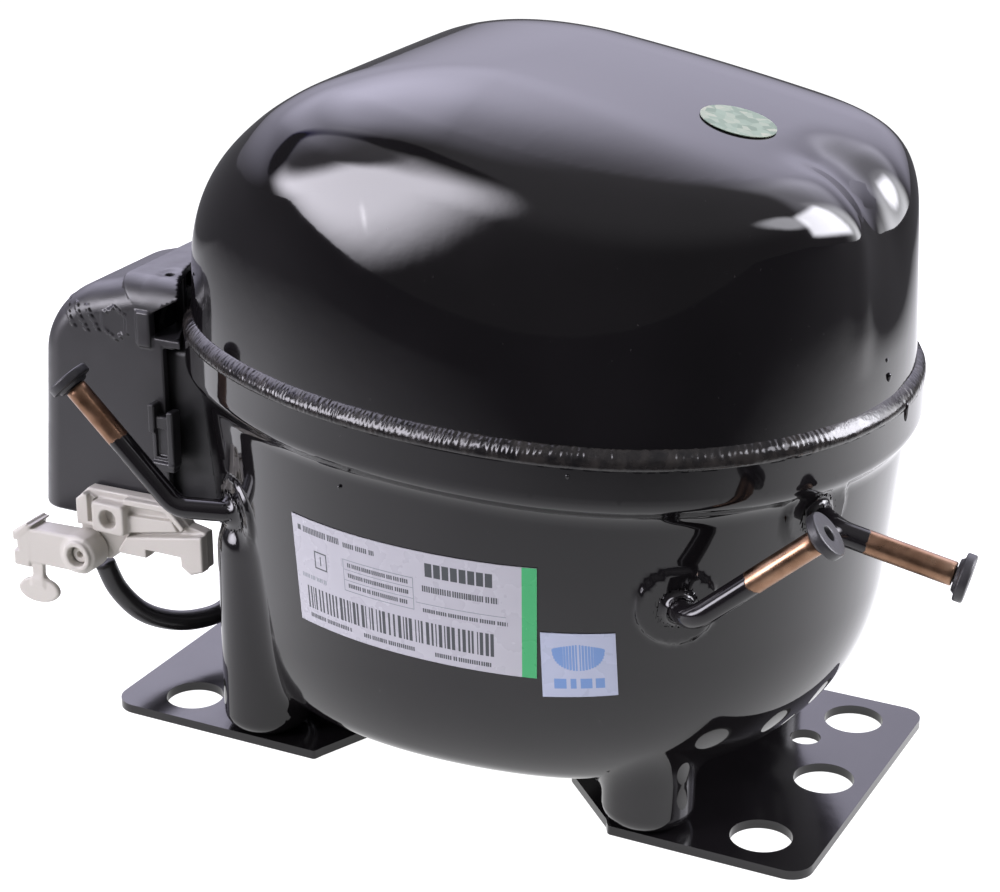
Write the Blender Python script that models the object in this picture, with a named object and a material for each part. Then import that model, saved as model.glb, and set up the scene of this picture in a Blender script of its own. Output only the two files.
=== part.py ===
"""Hermetic reciprocating refrigeration compressor.

A pressed steel shell in two halves, seam welded, stands on two foot plates and
holds a spring mounted pump: induction motor below, crankcase and single
cylinder above.  The piston is driven through a sliding yoke.  Outside are three
tube stubs with rubber plugs, the hermetic terminal with relay and overload
protector, their snap-on cover, and the cord clamp with its supply cable.

Frame: metres, +Z up, +X along the long axis of the shell, the terminal at the
-X end.  Left is -X, right +X, front -Y and rear +Y.  Lengths below are in
millimetres from the centre of the four-hole mounting pattern, on the plane the
feet stand on; the root empty then puts the world origin at the centre of the
footprint box.
"""

import math

import bmesh
import bpy
import numpy as np
from mathutils import Vector

for old in list(bpy.data.objects):
    bpy.data.objects.remove(old, do_unlink=True)

MM = 0.001
UP = (0, 0, 1)
TO_LEFT, TO_RIGHT = (-1, 0, 0), (1, 0, 0)
TO_FRONT, TO_REAR = (0, -1, 0), (0, 1, 0)

# -------------------------------------------------------- driving dimensions
ROOT_SHIFT = (1.752, 0.0)  # pattern centre seen from the footprint box centre
GAP = 0.3  # running clearance, also the space left between stacked parts

# shell outline: egg shaped plan, r(theta) as a cosine series
EGG = (87.98, 7.61, 12.33, -1.87, 0.34, -0.83)
RIM_TOP, RIM_STEP = 111.7, 100.2
WALL = 3.0

# spring lobes pressed into the bowl; the springs stand in them
LOBE_LEFT_X, LOBE_RIGHT_X = -58.5, 55.5
STUD_Y = 38.5
LOBES = {
    "front_left": (LOBE_LEFT_X, -STUD_Y),
    "rear_left": (LOBE_LEFT_X, STUD_Y),
    "front_right": (LOBE_RIGHT_X, -39.0),
    "rear_right": (LOBE_RIGHT_X, 39.0),
}

# tube stubs: point on the wall, corner of the bend, free end
STUBS = {
    "suction": ((-61.1, -46.4, 67.7), (-77.3, -50.5, 67.5), (-105.9, -52.9, 97.3)),
    "process": ((69.8, -58.6, 73.2), (77.0, -66.0, 74.5), (104.4, -60.5, 97.8)),
    "discharge": ((94.2, -32.7, 92.5), (102.8, -37.6, 90.7), (129.6, -34.3, 84.2)),
}
TUBE_R, TUBE_BORE_R = 3.0, 2.2
SHELL_CLEAR = 0.35  # collar foot to shell, and tube to its hole

TERMINAL = (-87.5, -10.0, 78.0)

# pump
SHAFT_X, SHAFT_Y = -1.5, 0.0
SHAFT = (SHAFT_X, SHAFT_Y, 0.0)
ECCENTRIC = 8.0
PIN_R, JOURNAL_R = 7.0, 9.0
BORE_R, BORE_Z = 12.0, 130.0
VALVE_FACE = 51.8  # cylinder end face, from the shaft axis
VALVE_X = SHAFT_X + VALVE_FACE

# ----------------------------------------------------------------- materials
# base colour, roughness, metallic
MATERIALS = {
    "black_enamel": ((0.012, 0.011, 0.013), 0.12, 0.0),
    "weld": ((0.03, 0.028, 0.03), 0.25, 0.0),
    "copper": ((0.55, 0.30, 0.20), 0.3, 1.0),
    "rubber": ((0.03, 0.03, 0.035), 0.6, 0.0),
    "black_plastic": ((0.02, 0.02, 0.022), 0.38, 0.0),
    "white_plastic": ((0.80, 0.79, 0.74), 0.4, 0.0),
    "cable": ((0.02, 0.02, 0.02), 0.45, 0.0),
    "label": ((0.80, 0.82, 0.84), 0.35, 0.0),
    "foil": ((0.55, 0.62, 0.55), 0.3, 0.0),
    "steel": ((0.45, 0.45, 0.47), 0.35, 1.0),
    "lamination": ((0.30, 0.30, 0.32), 0.5, 1.0),
    "winding": ((0.50, 0.20, 0.09), 0.4, 0.6),
    "cast_iron": ((0.22, 0.22, 0.23), 0.6, 0.8),
    "aluminium": ((0.70, 0.70, 0.72), 0.35, 1.0),
    "spring_steel": ((0.35, 0.35, 0.38), 0.3, 1.0),
    "pale_plastic": ((0.75, 0.72, 0.62), 0.5, 0.0),
    "glass": ((0.25, 0.30, 0.28), 0.1, 0.0),
}


def make_material(name, colour, roughness, metallic):
    mat = bpy.data.materials.new(name)
    mat.use_nodes = True
    shader = mat.node_tree.nodes["Principled BSDF"]
    shader.inputs["Base Color"].default_value = (*colour, 1.0)
    shader.inputs["Roughness"].default_value = roughness
    shader.inputs["Metallic"].default_value = metallic
    mat.diffuse_color = (*colour, 1.0)
    return mat


MATS = {name: make_material(name, *values) for name, values in MATERIALS.items()}

# ------------------------------------------------------------------- objects
root = bpy.data.objects.new("compressor", None)
bpy.context.scene.collection.objects.link(root)
root.location = (ROOT_SHIFT[0] * MM, ROOT_SHIFT[1] * MM, 0.0)


def origin_of(obj):
    """Origin in pattern millimetres; the root stands at the pattern centre."""
    return Vector(obj.get("at", (0, 0, 0)))


def place(obj, at, parent):
    bpy.context.scene.collection.objects.link(obj)
    obj.parent = parent
    obj.location = (Vector(at) - origin_of(parent)) * MM


def joint(name, at, parent=root):
    """Empty that marks a joint axis."""
    obj = bpy.data.objects.new(name, None)
    obj["at"] = at
    place(obj, at, parent)
    return obj


def solid(name, shape, mat, parent=root, at=None, smooth=False):
    """Mesh object from (points, faces); its origin is the parent's unless `at` is given."""
    points, faces = shape
    at = origin_of(parent) if at is None else Vector(at)
    mesh = bpy.data.meshes.new(name)
    mesh.from_pydata([(Vector(p) - at) * MM for p in points], [], faces)
    bm = bmesh.new()
    bm.from_mesh(mesh)
    bmesh.ops.recalc_face_normals(bm, faces=bm.faces)
    bm.to_mesh(mesh)
    bm.free()
    mesh.materials.append(MATS[mat])
    if smooth:
        mesh.shade_smooth()
        mesh.set_sharp_from_angle(angle=math.radians(40))
    obj = bpy.data.objects.new(name, mesh)
    place(obj, at, parent)
    return obj


def combine(obj, tool, operation):
    """Boolean obj with a hidden helper object."""
    mod = obj.modifiers.new(operation.lower() + "_" + tool.name, "BOOLEAN")
    mod.operation = operation
    mod.object = tool
    mod.solver = "EXACT"
    tool.hide_render = True
    tool.display_type = "WIRE"


def cut(obj, name, shape, mat=None):
    tool = solid(name, shape, mat or obj.data.materials[0].name)
    combine(obj, tool, "DIFFERENCE")


def add(obj, name, shape):
    combine(obj, solid(name, shape, obj.data.materials[0].name), "UNION")


def bevel(obj, width, segments, angle=35):
    mod = obj.modifiers.new("edge_bevel", "BEVEL")
    mod.width = width * MM
    mod.segments = segments
    mod.limit_method = "ANGLE"
    mod.angle_limit = math.radians(angle)
    mod.use_clamp_overlap = True


# -------------------------------------------------------------------- shapes
def cross_frame(axis):
    """Unit axis and two unit vectors across it."""
    axis = Vector(axis).normalized()
    side = axis.cross(Vector(UP))
    if side.length < 1e-3:
        side = Vector((1, 0, 0))
    side.normalize()
    return axis, side, axis.cross(side).normalized()


def circle_points(centre, u, v, radius, steps):
    angles = [2 * math.pi * k / steps for k in range(steps)]
    return [centre + (u * math.cos(a) + v * math.sin(a)) * radius for a in angles]


def lathe(profile, steps, centre, axis=UP):
    """Closed profile of (radius, height) turned about the axis; zero radii close it."""
    centre = Vector(centre)
    axis, u, v = cross_frame(axis)
    points, rings = [], []
    for radius, height in profile:
        start, middle = len(points), centre + axis * height
        if radius < 1e-6:
            points.append(middle)
        else:
            points += circle_points(middle, u, v, radius, steps)
        rings.append(range(start, len(points)))
    faces = []
    for a, b in zip(rings, rings[1:] + rings[:1]):
        if len(a) == 1 and len(b) == 1:
            continue
        for k in range(steps):
            k2 = (k + 1) % steps
            if len(a) == 1:
                faces.append((a[0], b[k], b[k2]))
            elif len(b) == 1:
                faces.append((a[k], b[0], a[k2]))
            else:
                faces.append((a[k], b[k], b[k2], a[k2]))
    return points, faces


def cylinder(radius, low, high, steps, centre, axis=UP):
    return lathe([(0, low), (radius, low), (radius, high), (0, high)], steps, centre, axis)


def ring(inner, outer, low, high, steps, centre):
    profile = [(inner, low), (outer, low), (outer, high), (inner, high)]
    return lathe(profile, steps, centre)


def prism_faces(n):
    faces = [tuple(range(n - 1, -1, -1)), tuple(range(n, 2 * n))]
    return faces + [(i, (i + 1) % n, n + (i + 1) % n, n + i) for i in range(n)]


def prism(outline, z0, z1):
    """Outline in X and Y, extruded along Z."""
    return [(x, y, z) for z in (z0, z1) for x, y in outline], prism_faces(len(outline))


def prism_x(outline, x0, x1):
    """Outline in Y and Z, extruded along X."""
    return [(x, y, z) for x in (x0, x1) for y, z in outline], prism_faces(len(outline))


def prism_y(outline, y0, y1):
    """Outline in X and Z, extruded along Y."""
    n = len(outline)
    faces = [tuple(range(n)), tuple(range(2 * n - 1, n - 1, -1))]
    faces += [(i, n + i, n + (i + 1) % n, (i + 1) % n) for i in range(n)]
    return [(x, y, z) for y in (y0, y1) for x, z in outline], faces


def box(x0, x1, y0, y1, z0, z1):
    return prism([(x0, y0), (x1, y0), (x1, y1), (x0, y1)], z0, z1)


def rounded(corners, steps=3):
    """Polygon from (a, b, radius) corners, each replaced by an arc."""
    out = []
    n = len(corners)
    for i, (*corner, radius) in enumerate(corners):
        corner = Vector(corner)
        before = (Vector(corners[i - 1][:2]) - corner).normalized()
        after = (Vector(corners[(i + 1) % n][:2]) - corner).normalized()
        half = before.angle(after) / 2
        if radius < 0.05 or half > 1.55:
            out.append(tuple(corner))
            continue
        back = radius / math.tan(half)
        centre = corner + (before + after).normalized() * (radius / math.sin(half))
        start = corner + before * back - centre
        end = corner + after * back - centre
        for k in range(steps + 1):
            out.append(tuple(centre + start.slerp(end, k / steps).normalized() * radius))
    return out


def band(a, b, count):
    """Quads between two rings of points that start at indices a and b."""
    faces = []
    for k in range(count):
        k2 = (k + 1) % count
        faces.append((a + k, a + k2, b + k2, b + k))
    return faces


def sweep(path, radius, steps, bore=0.0):
    """Round bar or tube along points, frames carried by parallel transport."""
    path = [Vector(p) for p in path]
    last = len(path) - 1
    points, outer, inner = [], [], []
    u = None
    for i, centre in enumerate(path):
        tangent = (path[min(i + 1, last)] - path[max(i - 1, 0)]).normalized()
        if u is None:
            u = cross_frame(tangent)[1]
        else:
            u = (u - tangent * u.dot(tangent)).normalized()
        v = tangent.cross(u)
        outer.append(len(points))
        points += circle_points(centre, u, v, radius, steps)
        if bore:
            inner.append(len(points))
            points += circle_points(centre, u, v, bore, steps)
    faces = []
    for a, b in zip(outer, outer[1:]):
        faces += band(a, b, steps)
    if not bore:
        faces.append(tuple(range(steps - 1, -1, -1)))
        faces.append(tuple(range(outer[-1], outer[-1] + steps)))
        return points, faces
    for a, b in zip(inner, inner[1:]):
        faces += [f[::-1] for f in band(a, b, steps)]
    faces += [f[::-1] for f in band(outer[0], inner[0], steps)]
    faces += band(outer[-1], inner[-1], steps)
    return points, faces


def loft(rings, start_cap=False, end_cap=False, pole=None):
    """Skin between rings of equal count; the last may close on a pole point."""
    n = len(rings[0])
    points = [p for r in rings for p in r]
    last = len(points) - n
    faces = []
    for start in range(0, last, n):
        faces += band(start, start + n, n)
    if start_cap:
        faces.append(tuple(range(n)))
    if end_cap:
        faces.append(tuple(range(last, last + n)))
    if pole is not None:
        points.append(pole)
        faces += [(last + k, last + (k + 1) % n, last + n) for k in range(n)]
    return points, faces


def smooth_path(points, per=2):
    """Catmull-Rom curve, `per` steps between neighbouring points."""
    pts = [Vector(p) for p in (points[0], *points, points[-1])]
    out = []
    for i in range(1, len(pts) - 2):
        a, b, c, d = pts[i - 1 : i + 3]
        for k in range(per):
            t = k / per
            square = (2 * a - 5 * b + 4 * c - d) * t * t
            cube = (3 * b - a - 3 * c + d) * t**3
            out.append(0.5 * ((2 * b) + (c - a) * t + square + cube))
    out.append(pts[-2])
    return out


# ------------------------------------------------------------ shell surfaces
COLS = 40  # points round each shell ring

BOWL_INSET, BOWL_DRAFT, BOWL_BLEND = 3.65, 0.091, 41.16
BOWL_FLOOR, BOWL_FLOOR_SLOPE, BOWL_LOWEST = 0.675, 0.168, 8.0
BOWL_LOWEST_BLEND = 12.0

COVER_INSET, COVER_DRAFT = 2.18, 0.048
COVER_TOP, COVER_SLOPE, COVER_CURVE, COVER_CROWN = 189.4, 0.134, 0.083, 1.68
COVER_EDGE_BLEND, COVER_LEFT_BLEND, COVER_SIDE_BLEND = 12.7, 22.6, 24.0
COVER_LEFT_X, COVER_LEFT_ANGLE = -26.1, 0.573
COVER_SIDE_Y, COVER_SIDE_ANGLE = 53.6, 0.822
COVER_RIGHT_X, COVER_RIGHT_ANGLE = 106.0, 0.829
COVER_SKIRT_INSET, COVER_SKIRT_Z = 3.3, 101.0

# ray origins inside each half, and ray elevations in degrees
COVER_EYE = (6.0, 0.0, 120.0)
COVER_ELEVATIONS = (2, 16, 27, 36, 45, 56, 72)
BOWL_EYE = (6.0, 0.0, 88.0)
BOWL_ELEVATIONS = (-8, -22, -33, -41, -49, -58, -72)


def egg_distance(x, y):
    """Distance outside the rim outline, measured square to it."""
    k = np.arange(len(EGG))
    series = np.array(EGG)
    angles = np.multiply.outer(np.arctan2(y, x), k)
    r = (series * np.cos(angles)).sum(-1)
    slope = (-series * k * np.sin(angles)).sum(-1)
    return (np.hypot(x, y) - r) * r / np.hypot(r, slope)


def blend_max(a, b, width):
    h = np.maximum(width - np.abs(a - b), 0) / width
    return np.maximum(a, b) + h * h * width / 4


def tilted(run, rise, angle):
    """Distance outside a plane leaning by angle."""
    return run * math.sin(angle) + rise * math.cos(angle)


def cover_field(p):
    """Negative inside the top cover's outer skin."""
    x, y, z = p[..., 0], p[..., 1], p[..., 2]
    wall = egg_distance(x, y) + COVER_INSET + COVER_DRAFT * np.maximum(z - 112, 0)
    above = z - (COVER_TOP - COVER_SLOPE * x)
    domed = above + COVER_CURVE * x * np.abs(x) / 100 + COVER_CROWN * (y / 60) ** 2
    left_rise = z - COVER_TOP + COVER_SLOPE * COVER_LEFT_X
    left = tilted(COVER_LEFT_X - x, left_rise, COVER_LEFT_ANGLE)
    side = tilted(np.abs(y) - COVER_SIDE_Y, above, COVER_SIDE_ANGLE)
    right = tilted(x - COVER_RIGHT_X, above, COVER_RIGHT_ANGLE)
    field = blend_max(wall, domed / math.hypot(1, COVER_SLOPE), COVER_EDGE_BLEND)
    field = blend_max(field, left, COVER_LEFT_BLEND)
    field = blend_max(field, side, COVER_SIDE_BLEND)
    return blend_max(field, right, COVER_SIDE_BLEND)


def bowl_field(p):
    """Negative inside the lower shell's outer skin, below the rim step."""
    x, y, z = p[..., 0], p[..., 1], p[..., 2]
    wall = egg_distance(x, y) + BOWL_INSET + BOWL_DRAFT * np.maximum(99 - z, 0)
    field = blend_max(wall, BOWL_FLOOR + BOWL_FLOOR_SLOPE * x - z, BOWL_BLEND)
    return blend_max(field, BOWL_LOWEST - z, BOWL_LOWEST_BLEND)


def skin_points(field, origin, directions, near, far):
    """Where rays from the origin reach the zero of the field, found by bisection."""
    origin = np.array(origin, float)
    low = np.full(len(directions), near)
    high = np.full(len(directions), far)
    for _ in range(40):
        mid = (low + high) / 2
        outside = field(origin + mid[:, None] * directions) > 0
        high = np.where(outside, mid, high)
        low = np.where(outside, low, mid)
    return (origin + low[:, None] * directions).tolist()


def ray_directions(angles, elevation=0.0):
    """Unit vectors at plan angles in radians and one elevation in degrees."""
    e = math.radians(elevation)
    flat, rise = math.cos(e), np.full(len(angles), math.sin(e))
    return np.stack([np.cos(angles) * flat, np.sin(angles) * flat, rise], 1)


def round_angles(count):
    return np.arange(count) * 2 * math.pi / count


def egg_ring(inset, z):
    """Points of the rim outline moved inwards by inset."""
    directions = ray_directions(round_angles(COLS))
    return skin_points(
        lambda p: egg_distance(p[:, 0], p[:, 1]) + inset, (0, 0, z), directions, 0.0, 140.0
    )


def ray_ring(field, inset, eye, elevation, count=COLS):
    """Points at one elevation on the skin that lies `inset` inside the field."""
    directions = ray_directions(round_angles(count), elevation)
    return skin_points(lambda p: field(p) + inset, eye, directions, 0.0, 160.0)


def cover_skin(inset, skirt_top):
    rings = [egg_ring(COVER_SKIRT_INSET + inset, z) for z in (COVER_SKIRT_Z, skirt_top)]
    rings += [ray_ring(cover_field, inset, COVER_EYE, e) for e in COVER_ELEVATIONS]
    return loft(rings, pole=ray_ring(cover_field, inset, COVER_EYE, 90, 1)[0])


def cover_shell():
    """Outer and inner skins joined round the lower edge."""
    outer, outer_faces = cover_skin(0.0, 116.0)
    inner, inner_faces = cover_skin(WALL, 114.0)
    base = len(outer)
    faces = outer_faces + [tuple(i + base for i in f) for f in inner_faces]
    return outer + inner, faces + band(0, base, COLS)


def bowl_below(rings, inset):
    """Close the given upper rings with a lid and the bowl skin below them."""
    rings += [ray_ring(bowl_field, inset, BOWL_EYE, e) for e in BOWL_ELEVATIONS]
    pole = ray_ring(bowl_field, inset, BOWL_EYE, -90, 1)[0]
    return loft(rings, start_cap=True, pole=pole)


def bowl_outer(inset=0.0):
    rows = [
        (0.9, RIM_TOP - inset),
        (0.0, RIM_TOP - 0.9),
        (0.0, RIM_STEP + inset),
        (BOWL_INSET, RIM_STEP - 3.0 + inset),
    ]
    return bowl_below([egg_ring(extra + inset, z) for extra, z in rows], inset)


def bowl_hollow():
    rows = [(WALL, 125.0), (WALL, RIM_STEP + 0.2), (BOWL_INSET + WALL + 0.3, RIM_STEP)]
    return bowl_below([egg_ring(inset, z) for inset, z in rows], WALL)


# -------------------------------------------------------------- shell halves
# lobe profiles: radius, height
LOBE_OUTER = [(0, 2.8), (8.0, 2.8), (11.0, 5.0), (12.0, 9.0), (12.0, 62.0), (8.0, 69.0), (0, 71.0)]
LOBE_INNER = [(0, 6.0), (6.0, 6.0), (9.0, 9.5), (9.0, 60.0), (5.0, 66.0), (0, 67.0)]
LOBE_STEPS = 16
STUD_R, STUD_STEPS = 2.6, 10  # studs that locate the spring ends

WELD_SECTION = [  # inset from the rim outline, height
    (0.4, 112.0), (-0.3, 113.2), (0.3, 114.8), (1.5, 115.6),
    (2.8, 115.0), (3.0, 113.8), (3.0, 112.0),
]


def build_lower_shell():
    shell = solid("lower_shell", bowl_outer(), "black_enamel", smooth=True)
    centres = [(x, y, 0) for x, y in LOBES.values()]
    for i, centre in enumerate(centres):
        add(shell, f"lobe_form_{i}", lathe(LOBE_OUTER, LOBE_STEPS, centre))
    cut(shell, "shell_hollow", bowl_hollow())
    for i, centre in enumerate(centres):
        cut(shell, f"lobe_hollow_{i}", lathe(LOBE_INNER, LOBE_STEPS, centre))
        add(shell, f"spring_stud_{i}", cylinder(STUD_R, 4.0, 17.0, STUD_STEPS, centre))
    for name, (wall, corner, _) in STUBS.items():
        axis = Vector(corner) - Vector(wall)
        cut(shell, name + "_hole", cylinder(TUBE_R + SHELL_CLEAR, -14, 10, 16, wall, axis))
    cut(shell, "terminal_hole", cylinder(14.0, -14, 14, 24, TERMINAL, TO_LEFT))


def build_seam_weld():
    points, faces = loft([egg_ring(inset, z) for inset, z in WELD_SECTION])
    faces += band(len(points) - COLS, 0, COLS)
    solid("seam_weld", (points, faces), "weld", smooth=True)


# --------------------------------------------------------------- foot plates
PLATE_THICK = 2.5
PLATE_Y = 48.0  # half width
PLATE_LEFT_X, PLATE_RIGHT_X = -104.4, 101.5
HOLE_X, HOLE_Y, HOLE_R = 85.0, 35.0, 8.0  # half pitches of the pattern

LEFT_PLATE = [  # x, y, corner radius
    (PLATE_LEFT_X, -PLATE_Y, 7), (-38.5, -PLATE_Y, 1), (-37.5, -45.0, 2), (-31.0, -29.0, 3),
    (-31.0, 29.0, 3), (-37.5, 45.0, 2), (-38.5, PLATE_Y, 1), (PLATE_LEFT_X, PLATE_Y, 7),
]
RIGHT_PLATE = [
    (48.3, -PLATE_Y, 1.5), (PLATE_RIGHT_X, -PLATE_Y, 6), (PLATE_RIGHT_X, PLATE_Y, 6),
    (48.3, PLATE_Y, 1.5), (46.5, 45.0, 1), (28.0, 27.0, 3), (28.0, -27.0, 3), (46.5, -45.0, 1),
]
# x, y, radius
LEFT_HOLES = [(-HOLE_X, -HOLE_Y, HOLE_R), (-HOLE_X, HOLE_Y, HOLE_R)]
RIGHT_HOLES = [
    (HOLE_X, -HOLE_Y, HOLE_R), (HOLE_X, HOLE_Y, HOLE_R), (89.0, 0.0, HOLE_R), (76.7, 19.3, 4.2),
]


def build_foot_plate(name, corners, holes):
    plate = solid(name, prism(rounded(corners, 4), 0.0, PLATE_THICK), "black_enamel")
    for i, (x, y, radius) in enumerate(holes):
        cut(plate, f"{name}_hole_{i}", cylinder(radius, -2, 5, 24, (x, y, 0)))


# ------------------------------------------------------ tube stubs and plugs
BEND_R, BEND_STEPS = 8.0, 6
TUBE_INSIDE = 8.0  # length of stub inside the wall
COLLAR = [  # radius, height
    (TUBE_R + 0.3, -9.0), (TUBE_R + 3.0, -9.0), (TUBE_R + 3.0, 0.4),
    (TUBE_R + 2.2, 1.6), (TUBE_R + 0.9, 3.4), (TUBE_R + 0.3, 3.6),
]
PLUG = [  # radius, height from the tube end
    (0, -7.0), (1.7, -7.0), (1.9, -6.0), (1.9, 0.3), (4.4, 0.3), (4.4, 1.0),
    (5.9, 1.2), (5.9, 3.3), (5.5, 3.8), (1.7, 3.8), (1.4, 2.0), (0, 2.0),
]


def stub_path(wall, corner, end):
    """Straight, smooth bend about the corner, straight."""
    inward, outward = (corner - wall).normalized(), (end - corner).normalized()
    half = (math.pi - inward.angle(outward)) / 2
    back = min(BEND_R / math.tan(half), (corner - wall).length * 0.95)
    start, finish = corner - inward * back, corner + outward * back
    points = [wall - inward * TUBE_INSIDE]
    for k in range(BEND_STEPS + 1):
        t = k / BEND_STEPS
        points.append(start * (1 - t) ** 2 + corner * 2 * t * (1 - t) + finish * t * t)
    return points + [end]


def build_stubs():
    # slightly grown shell, so that each collar foot fits the wall
    clearance = solid("shell_clearance", bowl_outer(-SHELL_CLEAR), "black_enamel")
    grown = [
        (r + SHELL_CLEAR if r else 0, z + math.copysign(SHELL_CLEAR, z - 30))
        for r, z in LOBE_OUTER
    ]
    for i, (x, y) in enumerate(LOBES.values()):
        add(clearance, f"lobe_clearance_{i}", lathe(grown, LOBE_STEPS, (x, y, 0)))
    for name, stub in STUBS.items():
        wall, corner, end = map(Vector, stub)
        collar_shape = lathe(COLLAR, 20, wall, corner - wall)
        collar = solid(name + "_collar", collar_shape, "black_enamel", smooth=True)
        combine(collar, clearance, "DIFFERENCE")
        tube = sweep(stub_path(wall, corner, end), TUBE_R, 14, TUBE_BORE_R)
        solid(name + "_tube", tube, "copper", smooth=True)
        plug_joint = joint(name + "_plug_axis", stub[2])
        plug = lathe(PLUG, 20, end, end - corner)
        solid(name + "_plug", plug, "rubber", plug_joint, smooth=True)


# ---------------------------------------------------- terminal and its relay
# radius, height towards the left
TERMINAL_PROFILE = [(0, -3.0), (9.5, -3.0), (13.7, -6.0), (13.7, 2.5), (12.2, 4.0), (0, 4.0)]
PIN_CIRCLE_R, TERMINAL_PIN_R, PIN_HOLE_R = 6.5, 1.2, 1.5
OVERLOAD_PROFILE = [(0, 0), (10.5, 0), (11.0, 1.0), (11.0, 8.0), (9.0, 9.0), (0, 9.0)]
OVERLOAD_AT = (-100.5, -9.0, 102.4)


def build_terminal():
    profile = lathe(TERMINAL_PROFILE, 24, TERMINAL, TO_LEFT)
    body = solid("terminal_body", profile, "steel", smooth=True)
    relay = solid("starter_relay", box(-118.0, -100.0, -27.5, 9.5, 66.0, 91.0), "black_plastic")
    bevel(relay, 1.5, 1)
    x, y, z = TERMINAL
    for i, letter in enumerate("abc"):
        angle = 2 * math.pi * i / 3
        at = (x, y + PIN_CIRCLE_R * math.sin(angle), z + PIN_CIRCLE_R * math.cos(angle))
        cut(body, f"pin_hole_{i}", cylinder(PIN_HOLE_R, -12, 12, 12, at, TO_LEFT))
        pin = cylinder(TERMINAL_PIN_R, -12, 15, 10, at, TO_LEFT)
        solid("terminal_pin_" + letter, pin, "spring_steel", smooth=True)
        cut(relay, f"relay_socket_{i}", cylinder(PIN_HOLE_R, 8, 18, 10, at, TO_LEFT))
    overload = lathe(OVERLOAD_PROFILE, 20, OVERLOAD_AT, TO_LEFT)
    solid("overload_protector", overload, "black_plastic", smooth=True)
    clip = box(-114.0, -110.5, -17.0, -1.0, 91.5, 112.0)
    solid("overload_spring_clip", clip, "spring_steel")


# --------------------------------------------------------------- relay cover
def build_relay_cover():
    left, front, bottom = -138.0, -32.0, 49.5
    right, rear, top = -92.0, 12.5, 122.0
    side_wall = 2.2
    roof_right = right + 10.0  # the roof reaches past the walls, towards the shell
    roof_under = top - 17.8
    outer = [  # x, z, corner radius
        (left, bottom, 1.2),
        (right, bottom, 0),
        (right, roof_under, 0),
        (roof_right, roof_under, 0),
        (roof_right, top, 0),
        (right - 13.0, top - 0.6, 0),
        (right - 16.5, top - 2.6, 0),
        (left + 5.2, top - 9.0, 17),
    ]
    inner = [
        (left + 2, bottom + 2, 0),
        (right + 20, bottom + 2, 0),
        (right + 20, top - 2.2, 0),
        (right - 13.0, top - 2.8, 0),
        (right - 16.5, top - 4.8, 0),
        (left + 7.1, top - 10.8, 15),
    ]
    axis = joint("relay_cover_axis", (right, -9.0, 83.0))
    cover_shape = prism_y(rounded(outer, 5), front, rear)
    cover = solid("relay_cover", cover_shape, "black_plastic", axis, at=(0, 0, 0))
    bevel(cover, 4.0, 3, angle=60)
    hollow = prism_y(rounded(inner, 4), front + side_wall, rear - side_wall)
    cut(cover, "cover_hollow", hollow)
    cut(cover, "cover_notch", box(-100.5, right + 22, front - 5, front + 9.0, 103.6, 113.5))
    rim = loft([egg_ring(-0.9, 96.0), egg_ring(-0.9, 126.0)], start_cap=True, end_cap=True)
    cut(cover, "rim_clearance", rim)
    cable_notch = box(-112.5, right + 12, -2.0, rear + 5, bottom - 5, bottom + 8)
    cut(cover, "cable_notch", cable_notch)
    clip = [(-97.0, 70.0), (-90.5, 70.0), (-90.5, 84.5), (-94.0, 88.0), (-97.0, 85.5)]  # x, z
    clip_shape = prism_y(clip, front - 3.0, front - 0.35)
    solid("cover_clip", clip_shape, "black_plastic", axis, at=(-98.0, front, 80.0))


# ------------------------------------------------------ cord clamp and cable
CLAMP_PIVOT = (-115.6, -44.0, 42.9)
SCREW_HOLE_R = 2.9
CLAMP_FRAME = [  # x, z
    (-119.8, 39.8), (-119.3, 58.0), (-116.5, 60.5), (-88.5, 61.0), (-83.5, 55.0), (-77.8, 54.2),
    (-77.8, 43.3), (-82.0, 41.8), (-85.0, 44.0), (-105.5, 43.8), (-109.8, 39.8),
]
CLAMP_ARM = [  # x, z
    (-106.0, 43.6), (-85.0, 43.9), (-81.8, 41.6), (-77.6, 43.2), (-77.6, 53.8), (-103.0, 49.0),
]
# x, z, corner radius
CLAMP_BOSS = [(-113.3, 49.2, 2), (-102.6, 49.2, 2), (-102.6, 58.3, 3), (-113.3, 58.3, 3)]
JAW_WING = [(-138.2, 35.5, 1), (-132.6, 35.5, 0), (-132.6, 49.5, 0), (-138.2, 46.0, 2)]
JAW_ROUND_R = 5.6  # jaw end about the pivot
SCREW = [  # radius, height towards the front
    (0, -10.5), (2.5, -10.5), (2.5, -1.2), (2.1, -0.8), (0.9, -0.8), (0.9, -2.2), (0, -2.2),
]
CABLE_R = 2.9
CABLE_PATH = [  # x, y, z
    (-115.8, -31.4, 35.4), (-113.6, -29.2, 27.2), (-109.4, -25.3, 19.8), (-104.4, -20.0, 15.6),
    (-99.0, -13.5, 13.8), (-94.5, -5.0, 14.2), (-93.5, 3.0, 18.5), (-96.0, 6.5, 30.0),
    (-100.0, 5.5, 44.0), (-103.0, 4.0, 57.0), (-103.5, 3.5, 63.5),
]


def arc(x, y, radius_x, radius_y, angles):
    return [(x + radius_x * math.cos(a), y + radius_y * math.sin(a)) for a in angles]


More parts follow.
